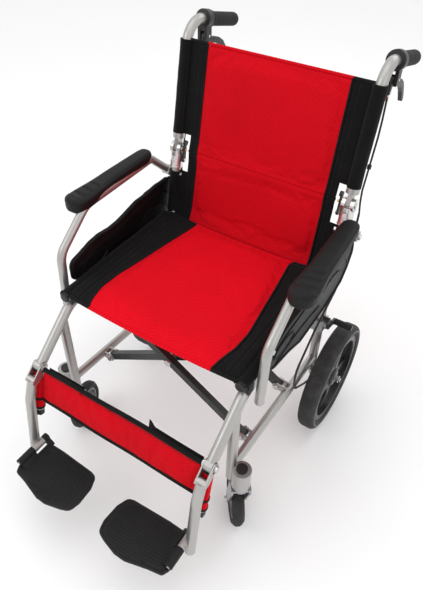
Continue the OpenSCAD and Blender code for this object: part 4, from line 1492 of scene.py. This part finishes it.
# ---------------------------------------------------------------- materials of the CAD nodes
# By the start of the node's name; all others are small black plastic
LOOK = {
    "side_frame": SILVER, "upper_cane": SILVER, "arm_tube": SILVER, "leg_tube": SILVER,
    "seat_rail": SILVER, "cane_joint": ALUMINIUM, "frame_bolts": BOLT, "rear_axle": BOLT,
    "caster_axle": BOLT, "brace_bolts": BOLT, "park_brake_lever": LEVER,
    "park_brake_base": ZINC, "caster_fork": ZINC, "brake_cable": CABLE, "band_brake": HOUSING,
    "cross_brace": BRACE,
}
for name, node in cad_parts.items():
    looks = [material for prefix, material in LOOK.items() if name.startswith(prefix)]
    node.data.materials.clear()
    node.data.materials.append(looks[0] if looks else PLASTIC)

# ---------------------------------------------------------------- stage, in metres
scene = bpy.context.scene
scene.view_settings.view_transform = "Standard"


def studio_world():
    scene.world = bpy.data.worlds.new("studio")
    scene.world.use_nodes = True
    background = scene.world.node_tree.nodes["Background"]
    background.inputs["Color"].default_value = (1.0, 1.0, 1.0, 1)
    background.inputs["Strength"].default_value = 0.95


def studio_floor():
    """A floor that sweeps up into a backdrop far behind the chair."""
    mat = Material("pale_floor")
    patches = mat.remap(mat.noise(scale=3.0), out=(0.0, 0.2))
    material = mat.finish(color=mat.mix(patches, (0.96, 0.96, 0.96), (0.94, 0.94, 0.943)),
                          rough=0.85, spec=0.1)
    verts = []
    for i in range(33):
        y = -6 + 12 * (i / 32)
        z = 0.0 if y < 4 else 4 * (1 - math.cos((y - 4) / 2 * math.pi / 2))
        verts += [(x, y, z - 0.0005) for x in (-8, 8)]
    faces = [[i, i + 1, i + 3, i + 2] for i in range(0, 64, 2)]
    make_object(verts, faces, material, name="studio_floor")


def area_light(name, location, target, size, energy):
    data = bpy.data.lights.new(name, "AREA")
    data.shape = "RECTANGLE"
    data.size, data.size_y = size
    data.energy = energy
    light = bpy.data.objects.new(name, data)
    scene.collection.objects.link(light)
    light.location = location
    aim = Vector(target) - Vector(location)
    light.rotation_euler = aim.to_track_quat("-Z", "Y").to_euler()


def studio_camera():
    """Looks down at the chair from its front left."""
    yaw, pitch, roll = math.radians(33.0), math.radians(42.2), math.radians(0.58)
    data = bpy.data.cameras.new("camera")
    data.sensor_width = 36.0
    data.lens = 35.084746
    data.shift_x = 0.012711864
    data.shift_y = -0.0016949153
    data.clip_start = 0.01
    camera = bpy.data.objects.new("camera", data)
    scene.collection.objects.link(camera)
    forward = Vector((-math.sin(yaw) * math.cos(pitch), math.cos(yaw) * math.cos(pitch),
                      -math.sin(pitch)))
    right = forward.cross(UP).normalized()
    above = right.cross(forward).normalized()
    rolled_right = right * math.cos(roll) + above * math.sin(roll)
    rolled_above = above * math.cos(roll) - right * math.sin(roll)
    matrix = Matrix((rolled_right, rolled_above, -forward)).transposed().to_4x4()
    matrix.translation = point(511, -923, 1292)
    camera.matrix_world = matrix
    scene.camera = camera


studio_world()
studio_floor()
area_light("top", (-0.1, -0.1, 2.9), target=(0, 0.05, 0.45), size=(2.2, 2.2), energy=11)
area_light("key", (-1.2, -1.8, 2.1), target=(0, 0, 0.45), size=(1.6, 1.2), energy=10)
area_light("fill", (2.2, -0.6, 1.7), target=(0, 0, 0.4), size=(1.6, 1.6), energy=4)
area_light("rim", (0.4, 2.2, 2.2), target=(0, 0.1, 0.6), size=(2.0, 1.0), energy=6)
studio_camera()
